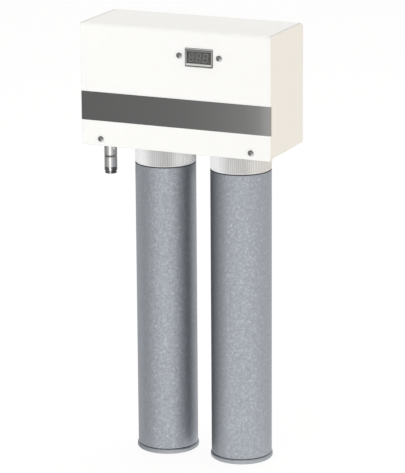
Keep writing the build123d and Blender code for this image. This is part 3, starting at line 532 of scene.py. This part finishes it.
def metal(name, look):
    look = {**metalShared, **look}
    material, tree, skin, place = openMaterial(name, {"Metallic": look["metallic"]})
    rounded = roundedNormal(tree, look)
    # Painted sparkle, where a look asks for it: grain and sparks fade towards the less lit sides
    grain = toned(tree, lookingRight(tree), look["grainTones"]) if "grainTones" in look else 1.0
    spotDepth = maths(tree, "MULTIPLY", grain, look["spotDepth"])
    spots = spotted(tree, place, rgba(look["colour"]), look["spotSize"], spotDepth)
    values = {"Vector": place, "Squeeze": look["streakSqueeze"], "Size": look["streakSize"]}
    lines = effect(tree, streaks, values)["Streaks"]
    share = maths(tree, "MULTIPLY", lines, look["streakShare"])
    tone = blended(tree, share, spots["Color"], gained(look["colour"], look["streakGain"]))
    worn = effect(tree, edgeWear, {"Vector": place, "Rounded": rounded, "Gain": look["wear"]})["Mask"]
    tone = blended(tree, worn, tone, gained(look["colour"], look["bareGain"]))
    if "sparkShare" in look:
        sparks = ramped(tree, spots["Spots"], *look["sparkSpan"], 0.0, look["sparkShare"])
        sparks = maths(tree, "MULTIPLY", sparks, grain)
        tone = blended(tree, sparks, tone, gained(look["colour"], look["sparkGain"]))
    if "jointLevels" in look:
        upper, lower = look["jointLevels"]
        values = {"Vector": place, "Upper": upper, "Lower": lower, "Width": look["jointWidth"]}
        tone = blended(tree, effect(tree, joints, values)["Mask"], tone, rgba(look["jointTone"]))
    if "grooveTone" in look:
        ribs = effect(tree, grooves, {"Vector": place, **columnAxes, **look["ribs"]})
        # Painted light and shade round the collar
        tone = times(tree, tone, toned(tree, ribs["Round"], look["roundTones"]))
        # Painted shade down in the grooves
        tone = times(tree, tone, grey(tree, ramped(tree, ribs["Mask"], 0.0, 1.0, look["grooveTone"], 1.0)))
    if "shadedSide" in look:
        # Painted shade: the side that looks at the other column is darker, most where it looks straight at it
        towards = dot(tree, faceNormal(tree), look["shadedSide"])
        shade = ramped(tree, towards, *look["shadedSpan"], 1.0, look["shadedTone"])
        tone = times(tree, tone, grey(tree, shade))
    if "domeTones" in look:
        # Painted shade and highlight: domes are dark above and on their left, with a painted glint below on their right
        lit = dot(tree, faceNormal(tree), look["glintSide"])
        shade = ramped(tree, lit, *look["domeSpan"], *look["domeTones"])
        glint = ramped(tree, lit, *look["glintSpan"], 0.0, look["glintTone"], True)
        tone = times(tree, tone, grey(tree, maths(tree, "ADD", shade, glint)))
    # Painted light and shade by where a face looks, from the columns' left side to their right
    if "sideTones" in look:
        tone = times(tree, tone, toned(tree, lookingRight(tree), look["sideTones"]))
    tree.links.new(tone, skin["Base Color"])
    texture = maths(tree, "MULTIPLY", maths(tree, "ADD", spots["Spots"], lines), 0.5)
    roughened(tree, skin, texture, look)
    bumped(tree, skin, texture, look["bump"], rounded)
    return material


# Moulded plastics and rubber: even colour, fine moulded grain, slightly paler rubbed edges, and on the bezel painted
# light on its slopes
plasticShared = {
    "IOR": 1.5,
    "grainDepth": 0.10,
    "bump": 0.000010,
    "wear": 2.5,
    "rubbedGain": 1.35,
    "rubbedLift": 0.02,
}
plasticLooks = {
    "bezel": {
        "colour": (0.46, 0.46, 0.452), "roughness": (0.30, 0.40), "grain": 0.0006, "edge": 0.0003,
        # Painted light: slopes paler where they look up and to the right
        "rim": (0.100, 0.100, 0.099), "rimSpan": (-0.86, -0.93), "upGain": 0.92, "rightGain": 0.10,
    },
    "module": {"colour": (0.300, 0.300, 0.296), "roughness": (0.42, 0.55), "grain": 0.0007, "edge": 0.0003},
    "coil": {"colour": (0.030, 0.030, 0.032), "roughness": (0.40, 0.55), "grain": 0.0008, "edge": 0.0008},
    "shuttle": {"colour": (0.74, 0.73, 0.69), "roughness": (0.38, 0.50), "grain": 0.0009, "edge": 0.0003},
    "black": {
        "colour": (0.018, 0.018, 0.020), "roughness": (0.08, 0.14), "grain": 0.0010, "edge": 0.0004,
        "IOR": 1.60,
    },
    "gland": {"colour": (0.045, 0.045, 0.048), "roughness": (0.38, 0.50), "grain": 0.0008, "edge": 0.0006},
    "rubber": {"colour": (0.020, 0.020, 0.020), "roughness": (0.60, 0.75), "grain": 0.0005, "edge": 0.0004},
    # The seal's dark grey outline is partly the real seal and partly stands in for the shadow under the bezel
    "seal": {"colour": (0.200, 0.200, 0.198), "roughness": (0.55, 0.70), "grain": 0.0005, "edge": 0.0003},
}


def moulding(name, look):
    look = {**plasticShared, **look}
    material, tree, skin, place = openMaterial(name, {"IOR": look["IOR"]})
    rounded = roundedNormal(tree, look)
    spots = spotted(tree, place, rgba(look["colour"]), look["grain"], look["grainDepth"])
    worn = effect(tree, edgeWear, {"Vector": place, "Rounded": rounded, "Gain": look["wear"]})["Mask"]
    tone = blended(tree, worn, spots["Color"], gained(look["colour"], look["rubbedGain"], look["rubbedLift"]))
    if "rim" in look:
        # The flat rim in front is dark grey; painted light makes the slopes palest where they look up and to the right,
        # and darker where they look down
        across, depth, up = parted(tree, faceNormal(tree))
        gain = maths(tree, "ADD", maths(tree, "MULTIPLY", up, look["upGain"]), 1.0)
        gain = maths(tree, "ADD", maths(tree, "MULTIPLY", across, look["rightGain"]), gain)
        tone = times(tree, tone, grey(tree, gain))
        tone = blended(tree, ramped(tree, depth, *look["rimSpan"]), tone, rgba(look["rim"]))
    tree.links.new(tone, skin["Base Color"])
    roughened(tree, skin, spots["Spots"], look)
    bumped(tree, skin, spots["Spots"], look["bump"], rounded)
    return material


# Smoked acrylic over the display: clear tint with faint rub marks in its gloss
windowLook = {
    "glass": {
        "Transmission Weight": 1.0, "IOR": 1.03, "Metallic": 0.0, "Coat Weight": 0.3, "Coat Roughness": 0.05,
    },
    "tint": (0.93, 0.935, 0.93),
    "roughness": (0.02, 0.07),
    "markSize": 0.004,
    "markDepth": 0.05,
}


def smokedWindow(name, look):
    material, tree, skin, place = openMaterial(name, look["glass"])
    marks = spotted(tree, place, rgba(look["tint"]), look["markSize"], look["markDepth"])
    tree.links.new(marks["Color"], skin["Base Color"])
    roughened(tree, skin, marks["Spots"], look)
    return material


# Circuit board: solder mask over a lattice of copper tracks
boardLook = {
    "mask": (0.020, 0.115, 0.050),
    "track": (0.045, 0.190, 0.085),
    "trackSpan": (0.28, 0.33),    # of a cell, from its middle, where the mask ends and the track starts
    "pitch": 0.0025,
    "bump": 0.00003,
    "spotSize": 0.0008,
    "spotDepth": 0.12,
    "roughness": (0.30, 0.42),
    "edge": 0.0002,
    "coat": 0.4,
}


def circuitBoard(name, look):
    material, tree, skin, place = openMaterial(name, {"Coat Weight": look["coat"]})
    rounded = roundedNormal(tree, look)
    values = {"Vector": place, "Scale": 1.0 / look["pitch"]}
    cells = put(tree, "ShaderNodeTexVoronoi", values, distance="CHEBYCHEV").outputs
    track = ramped(tree, cells["Distance"], *look["trackSpan"])
    tone = blended(tree, track, rgba(look["mask"]), rgba(look["track"]))
    spots = spotted(tree, place, tone, look["spotSize"], look["spotDepth"])
    tree.links.new(spots["Color"], skin["Base Color"])
    roughened(tree, skin, spots["Spots"], look)
    bumped(tree, skin, track, look["bump"], rounded)
    return material


# Grains pressed together: sintered discs, felt and the bed of desiccant beads
grainShared = {
    "edge": 0.0003,
    "reach": 0.75,             # where a grain ends, in its own sizes from its middle
    "ownTones": (0.86, 1.08),  # of the darkest and the palest grain
    "ownRoughness": 0.05,      # of a grain, more or less than the look's
    "bump": 0.4,               # of a grain's size
}
grainLooks = {
    "strainer": {
        "colour": (0.56, 0.555, 0.53), "gap": 0.42, "size": 0.0009, "metallic": 0.9, "roughness": 0.55,
    },
    "sinter": {"colour": (0.53, 0.39, 0.20), "gap": 0.40, "size": 0.0008, "metallic": 0.9, "roughness": 0.55},
    "pad": {"colour": (0.70, 0.68, 0.62), "gap": 0.60, "size": 0.0007, "metallic": 0.0, "roughness": 0.90},
    "bed": {"colour": (0.86, 0.85, 0.81), "gap": 0.35, "size": 0.0026, "metallic": 0.0, "roughness": 0.70},
}


def packedGrains(name, look):
    look = {**grainShared, **look}
    material, tree, skin, place = openMaterial(name, {"Metallic": look["metallic"]})
    rounded = roundedNormal(tree, look)
    cells = put(tree, "ShaderNodeTexVoronoi", {"Vector": place, "Scale": 1.0 / look["size"]}).outputs
    # Painted shade: grains darker in the gaps between them
    crown = ramped(tree, cells["Distance"], 0.0, look["reach"], 1.0, 0.0, True)
    tone = blended(tree, crown, gained(look["colour"], look["gap"]), rgba(look["colour"]))
    own = put(tree, "ShaderNodeSeparateColor", {0: cells["Color"]}).outputs[0]
    gain = ramped(tree, own, 0.0, 1.0, *look["ownTones"])
    tree.links.new(times(tree, tone, grey(tree, gain)), skin["Base Color"])
    middle, swing = look["roughness"], look["ownRoughness"]
    roughened(tree, skin, own, {"roughness": (middle - swing, middle + swing)})
    bumped(tree, skin, crown, look["size"] * look["bump"], rounded)
    return material


# Every node takes the finish of its material slot, and a few take one of their own
finishes = {
    "cover": coatedSheet("powderCoat", caseCoat),
    "chassis": coatedSheet("chassisCoat", {**caseCoat, "dustAmount": 0.24, "roughness": (0.46, 0.55)}),
    "stripe": printedFilm("stripeFilm", stripeLook),
    "window": smokedWindow("smokedWindow", windowLook),
    "board": circuitBoard("circuitBoard", boardLook),
}
metalNames = {
    "tube": "speckledTube", "tubeRight": "speckledTubeRight", "base": "turnedCap",
    "head": "ribbedCollar", "headLeft": "ribbedCollarLeft", "manifold": "milledManifold",
    "riser": "drawnRiser", "brass": "turnedBrass", "nickel": "nickelPlate", "screws": "zincScrews",
    "steel": "turnedSteel", "chrome": "brightPlate", "buttons": "buttonScrews",
}
plasticNames = {
    "bezel": "bezelMoulding", "module": "displayFace", "coil": "coilMoulding", "shuttle": "shuttleMoulding",
    "black": "glossyCap", "gland": "glandMoulding", "rubber": "nitrile", "seal": "greySeal",
}
grainNames = {"strainer": "sinteredDisc", "sinter": "sinteredBronze", "pad": "feltPad", "bed": "beadBed"}
families = (
    (metal, metalNames, metalLooks),
    (moulding, plasticNames, plasticLooks),
    (packedGrains, grainNames, grainLooks),
)
for make, names, looks in families:
    for slotName, materialName in names.items():
        finishes[slotName] = make(materialName, looks[slotName])

slotOf = {part["node"]: part["material_slot"] for part in frame["record"]["subparts"]}
ownFinish = {
    "display_seal": "seal", "cover_screws": "buttons", "display_screws": "buttons",
    "column_tube_right": "tubeRight", "column_head_left": "headLeft",
}
for nodeName, node in frame["nodes"].items():
    for slot in node.material_slots:
        slot.material = finishes[ownFinish.get(nodeName, slotOf[nodeName])]
print("finishes on the nodes:", len(finishes))


def placed(name, data):
    thing = bpy.data.objects.new(name, data)
    bpy.context.scene.collection.objects.link(thing)
    return thing


def meshPiece(name, points, faces):
    mesh = bpy.data.meshes.new(name)
    mesh.from_pydata(points, [], faces)
    mesh.update()
    return placed(name, mesh)


# Display digits: thin moulded bars on the module's face
digits = {
    "centres": (-0.0109, -0.0010, 0.0089),    # across the window, from the display's centre
    "height": 0.0108,
    "width": 0.0056,
    "bar": 0.00105,
    "gap": 0.00022,
    "thick": 0.00030,
    "sunk": 0.0001,           # how far bars and points reach into the module
    "lean": 0.12,
    "pointRadius": 0.00070,
    "pointAt": 0.0047,
    "pointSteps": 16,
    "colour": (0.192, 0.192, 0.188),
    "faceInset": 0.0001,      # from the window's edges, and half the face's thickness
    "faceColour": (0.072, 0.072, 0.070),
    "finish": {"roughness": (0.30, 0.42), "grain": 0.0005, "edge": 0.0001, "IOR": 1.2},
}


# Prisms from flat outlines: each outline (points x 2) is repeated on a front and a back plane
def prisms(name, outlines, front, back):
    count, corners, _ = outlines.shape
    flat = np.repeat(outlines[:, None], 2, axis=1)
    depth = np.broadcast_to(np.array([front, back])[None, :, None], (count, 2, corners))
    points = np.stack([flat[..., 0], depth, flat[..., 1]], axis=-1).reshape(-1, 3)
    start = np.arange(count)[:, None] * 2 * corners
    ring = np.arange(corners)[None]
    after = (ring + 1) % corners
    sides = np.stack([ring + start, ring + start + corners, after + start + corners, after + start], axis=-1)
    fronts = (start + ring).tolist()
    backs = (start + corners + ring[:, ::-1]).tolist()
    return meshPiece(name, points.tolist(), fronts + backs + sides.reshape(-1, 4).tolist())


# Bars of a seven-bar figure: pointed six-sided outlines, turned a quarter for the upright ones,
# set about each figure's centre and leaned by a share of their height
def digitOutlines(size, centre):
    tall, wide, bar, gap = size["height"] / 2, size["width"] / 2, size["bar"] / 2, size["gap"]
    def pointed(half):
        across = np.array([-half, bar - half, half - bar, half, half - bar, bar - half])
        up = np.array([0, -bar, -bar, 0, bar, bar])
        return np.stack([across, up], axis=-1)
    quarterTurn = np.array([[0, 1], [-1, 0]])
    lying = pointed(wide - gap)
    standing = pointed(tall / 2 - gap) @ quarterTurn
    lyingSpots = np.array([[0, tall], [0, 0], [0, -tall]])
    standingSpots = np.array([[x, z] for x in (-wide, wide) for z in (-tall / 2, tall / 2)])
    bars = np.concatenate([lying[None] + lyingSpots[:, None], standing[None] + standingSpots[:, None]])
    bars[..., 0] += bars[..., 1] * size["lean"]
    shifts = np.stack([np.array(size["centres"]), np.zeros(len(size["centres"]))], axis=-1)
    return (bars[None] + shifts[:, None, None]).reshape(-1, *lying.shape) + centre


# Round points: a circle of even steps beside each figure's foot
def pointOutlines(size, centre):
    turn = np.linspace(0, 2 * np.pi, size["pointSteps"], endpoint=False)
    circle = size["pointRadius"] * np.stack([np.cos(turn), np.sin(turn)], axis=-1)
    feet = np.full(len(size["centres"]), -size["height"] / 2)
    spots = np.stack([np.array(size["centres"]) + size["pointAt"], feet], axis=-1)
    return circle[None] + spots[:, None] + centre


moduleLow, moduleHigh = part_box("display_module")
moduleFace = moduleLow[1]
moduleCentre = ((moduleLow[0] + moduleHigh[0]) / 2, (moduleLow[2] + moduleHigh[2]) / 2)
barPlanes = (moduleFace - digits["thick"], moduleFace + digits["sunk"])
digitBars = prisms("digit_bars", digitOutlines(digits, moduleCentre), *barPlanes)
digitPoints = prisms("digit_points", pointOutlines(digits, moduleCentre), *barPlanes)

windowLow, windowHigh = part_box("display_window")
inset = digits["faceInset"]
faceLeft, faceRight = windowLow[0] + inset, windowHigh[0] - inset
faceFoot, faceTop = windowLow[2] + inset, windowHigh[2] - inset
faceOutline = [(faceLeft, faceFoot), (faceRight, faceFoot), (faceRight, faceTop), (faceLeft, faceTop)]
facePlate = prisms("display_face", np.array([faceOutline]), moduleFace - inset, moduleFace + inset)

digitLens = moulding("digitLens", {**digits["finish"], "colour": digits["colour"]})
facePrint = moulding("facePrint", {**digits["finish"], "colour": digits["faceColour"]})
for piece, material in ((facePlate, facePrint), (digitBars, digitLens), (digitPoints, digitLens)):
    piece.data.materials.append(material)
    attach(piece, "dryer")
print("display digits built")


# Plunger springs: round wire coils stand for the nodes, drawn at rest, though the real springs shorten as the plungers
# lift
springLook = {
    "wireRadius": 0.00025,
    "turns": 6,
    "turnSteps": 40,
    "wireSteps": 12,
    "endRoom": 2.2,           # wire radii of the height that the two ends take
    "fixedAt": -0.0315,       # level of the upper end, which stays
    "travel": 0.0015,         # how far the plunger pushes the lower end up
}


# A circle carried along a helix: each point is the helix's point plus the wire's radius along a
# direction that turns, across the helix, from straight outwards towards its other normal
def helixWire(name, low, high, look):
    wireRadius = look["wireRadius"]
    centre = (low + high) / 2
    coilRadius = (high[0] - low[0]) / 2 - wireRadius
    tall = high[2] - low[2] - look["endRoom"] * wireRadius
    turn = np.linspace(0, 2 * np.pi * look["turns"], look["turns"] * look["turnSteps"] + 1)
    flat = np.zeros_like(turn)
    outwards = np.stack([np.cos(turn), np.sin(turn), flat], axis=-1)
    rise = flat + tall / turn[-1]
    along = np.stack([-np.sin(turn) * coilRadius, np.cos(turn) * coilRadius, rise], axis=-1)
    along /= np.linalg.norm(along, axis=1, keepdims=True)
    across = np.cross(along, outwards)
    line = centre + coilRadius * outwards + np.stack([flat, flat, rise * turn - tall / 2], axis=-1)
    wireTurn = np.linspace(0, 2 * np.pi, look["wireSteps"], endpoint=False)[None, :, None]
    spokes = np.cos(wireTurn) * outwards[:, None] + np.sin(wireTurn) * across[:, None]
    rings = line[:, None] + wireRadius * spokes
    count, corners = rings.shape[:2]
    ring = np.arange(corners)
    start = np.arange(count - 1)[:, None] * corners
    after = (ring + 1) % corners
    sides = np.stack([start + ring, start + after, start + corners + after, start + corners + ring], axis=-1)
    caps = [ring[::-1].tolist(), (ring + (count - 1) * corners).tolist()]
    piece = meshPiece(name, rings.reshape(-1, 3).tolist(), sides.reshape(-1, 4).tolist() + caps)
    piece.data.shade_smooth()
    return piece


for side in ("left", "right"):
    nodeName = "plunger_spring_" + side
    low, high = (np.array(corner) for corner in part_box(nodeName))
    coil = helixWire("spring_coils_" + side, low, high, springLook)
    coil.data.materials.append(finishes["steel"])
    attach(coil, "dryer")
    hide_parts(nodeName)
    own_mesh(coil)
print("plunger springs built")


# Floor, lights and world
stageLook = {
    "floorColour": (0.82, 0.82, 0.815),
    "mottleSize": 0.02,
    "mottleDepth": 0.02,
    "floorReach": 12.0,
    "floorDrop": 0.0001,      # below the lowest point of the dryer
    "plainShare": 0.90,       # of what the camera sees of the floor is plain white
    "litShare": 0.14,         # and this much of its lit surface is added, which keeps the shadow
    "gloss": {"Left": 0.58, "Right": 0.80},    # what shiny faces see of the studio on either side
    "worldStrength": 0.62,
    "worldWarm": (1.06, 0.97, 0.86),
    "warmSpan": (0.1, 1.0),   # how far to the right the glow starts to be warm and is warmest
}
lampLooks = {
    "frontSoftbox": {
        "at": (-0.90, -3.0, 0.15), "aim": (0.0, -0.10, -0.15), "size": (2.2, 1.8), "power": 44.9,
        "colour": (0.982, 0.992, 1.0),
    },
    "sideSoftbox": {
        "at": (3.0, -0.2, 0.10), "aim": (0.0, -0.05, -0.15), "size": (1.6, 1.6), "power": 20.2,
        "colour": (1.0, 0.840, 0.600),
    },
    "topSoftbox": {
        "at": (0.0, 1.1, 2.4), "aim": (0.0, -0.05, 0.0), "size": (2.4, 2.4), "power": 31.0,
        "colour": (1.0, 1.0, 0.985),
    },
}
stripLook = {
    "at": (0.145, -1.24, 0.02), "aim": (-0.118, -0.054, 0.02), "size": (0.77, 1.06),
    "colour": (1.0, 1.0, 1.0),
    "powers": {"chrome": 2.9, "black": 47.8},    # one narrow light for each of these finishes
}
collarLook = {
    "at": (1.0, -1.0, 0.0), "aim": (-0.052, -0.054, -0.14), "size": (0.5, 0.5), "power": 3.8,
    "colour": (1.0, 1.0, 1.0),
}


# Whether a ray is the camera's, whether it is that or comes from a shiny or clear face, and what those
# faces see of the studio's bands
def studioRays(tree, way):
    rays = put(tree, "ShaderNodeLightPath").outputs
    camera = rays["Is Camera Ray"]
    mirrored = maths(tree, "MAXIMUM", rays["Is Glossy Ray"], rays["Is Transmission Ray"])
    either = maths(tree, "MAXIMUM", camera, mirrored)
    bands = effect(tree, studioGloss, {"Vector": way, **stageLook["gloss"]})["Strength"]
    return camera, either, maths(tree, "MULTIPLY", mirrored, bands)


reach = stageLook["floorReach"]
floorZ = cadBox[0][2] - stageLook["floorDrop"]
floorCorners = [
    (-reach, -reach, floorZ), (reach, -reach, floorZ), (reach, reach, floorZ), (-reach, reach, floorZ),
]
floor = meshPiece("floor", floorCorners, [(0, 1, 2, 3)])

# Shiny and clear faces see the studio's soft bands, other rays the lit paint, the camera mostly white
floorCoat = bpy.data.materials.new("floorCoat")
floorCoat.use_nodes = True
tree = floorCoat.node_tree
tree.nodes.clear()
place = put(tree, "ShaderNodeTexCoord").outputs["Object"]
camera, either, banded = studioRays(tree, place)
floorColour = rgba(stageLook["floorColour"])
mottled = spotted(tree, place, floorColour, stageLook["mottleSize"], stageLook["mottleDepth"])
plainWhite = maths(tree, "MULTIPLY", camera, stageLook["plainShare"])
strength = maths(tree, "ADD", plainWhite, banded, clamp=True)
lit = ramped(tree, either, 0.0, 1.0, 1.0, stageLook["litShare"])
painted = blended(tree, lit, rgba((0, 0, 0)), mottled["Color"])
paint = put(tree, "ShaderNodeBsdfDiffuse", {"Color": painted})
white = put(tree, "ShaderNodeEmission", {"Color": grey(tree, strength), "Strength": 1.0})
surface = put(tree, "ShaderNodeAddShader", {0: paint.outputs[0], 1: white.outputs[0]})
clear = put(tree, "ShaderNodeBsdfTransparent")
beneath = maths(tree, "MULTIPLY", put(tree, "ShaderNodeNewGeometry").outputs["Backfacing"], camera)
seen = put(tree, "ShaderNodeMixShader", {0: beneath, 1: surface.outputs[0], 2: clear.outputs[0]})
put(tree, "ShaderNodeOutputMaterial", {"Surface": seen.outputs[0]})
floor.data.materials.append(floorCoat)

# The world is white to the camera and banded to shiny faces; to others it glows, warmer to the right
world = bpy.data.worlds.new("studio")
bpy.context.scene.world = world
world.use_nodes = True
tree = world.node_tree
tree.nodes.clear()
way = put(tree, "ShaderNodeTexCoord").outputs["Generated"]
camera, either, banded = studioRays(tree, way)
others = maths(tree, "SUBTRACT", 1.0, either)
glow = maths(tree, "MULTIPLY", others, stageLook["worldStrength"])
level = grey(tree, maths(tree, "ADD", maths(tree, "MAXIMUM", banded, camera), glow))
toRight = ramped(tree, parted(tree, way)[0], *stageLook["warmSpan"], 0.0, 1.0, True)
warmth = maths(tree, "MULTIPLY", toRight, others)
tint = blended(tree, warmth, rgba((1, 1, 1)), rgba(stageLook["worldWarm"]))
sky = put(tree, "ShaderNodeBackground", {"Color": times(tree, tint, level), "Strength": 1.0})
put(tree, "ShaderNodeOutputWorld", {"Surface": sky.outputs[0]})


def softbox(name, look, shiny=False):
    lamp = bpy.data.lights.new(name, "AREA")
    lamp.shape = "RECTANGLE"
    lamp.size, lamp.size_y = look["size"]
    lamp.energy = look["power"]
    lamp.color = look["colour"]
    holder = placed(name, lamp)
    holder.location = look["at"]
    facing = Vector(look["aim"]) - Vector(look["at"])
    holder.rotation_euler = facing.to_track_quat("-Z", "Y").to_euler()
    holder.visible_glossy = shiny
    return holder


# The lamp lights the given nodes and nothing else
def lightOnly(lamp, name, nodes):
    lit = bpy.data.collections.new(name)
    for node in nodes:
        lit.objects.link(node)
    lamp.light_linking.receiver_collection = lit


for lampName, look in lampLooks.items():
    softbox(lampName, look)

# A narrow light in front gives the small bright fittings and their black ends their line
for slotName, power in stripLook["powers"].items():
    strip = softbox(slotName + "Softbox", {**stripLook, "power": power}, True)
    fittings = [node for nodeName, node in frame["nodes"].items() if slotOf[nodeName] == slotName]
    lightOnly(strip, slotName + "Lit", fittings)

# The left collar gets back the light that the right column takes from it
lightOnly(softbox("collarSoftbox", collarLook), "collarLit", [frame["nodes"]["column_head_left"]])
print("floor, world and lamps set")


# Camera, fitted to the case's corners and the columns in the photograph
cameraLook = {
    "at": (1.448889, -3.279090, 0.722198),
    "right": (0.91432, 0.40495, -0.00629),
    "up": (-0.09978, 0.24027, 0.96556),
    "forward": (-0.39251, 0.88221, -0.26009),
    "lens": 212.0,            # millimetres, as the sensor's width
    "sensor": 36.0,
    "reach": 50.0,
}
eye = bpy.data.cameras.new("camera")
eye.lens = cameraLook["lens"]
eye.sensor_width = cameraLook["sensor"]
eye.clip_end = cameraLook["reach"]
cameraObject = placed("camera", eye)
columns = [cameraLook["right"], cameraLook["up"], [-part for part in cameraLook["forward"]]]
turned = Matrix(columns).transposed().to_4x4()
cameraObject.matrix_world = Matrix.Translation(cameraLook["at"]) @ turned
bpy.context.scene.camera = cameraObject
bpy.context.scene.view_settings.view_transform = "Standard"
print("camera set")
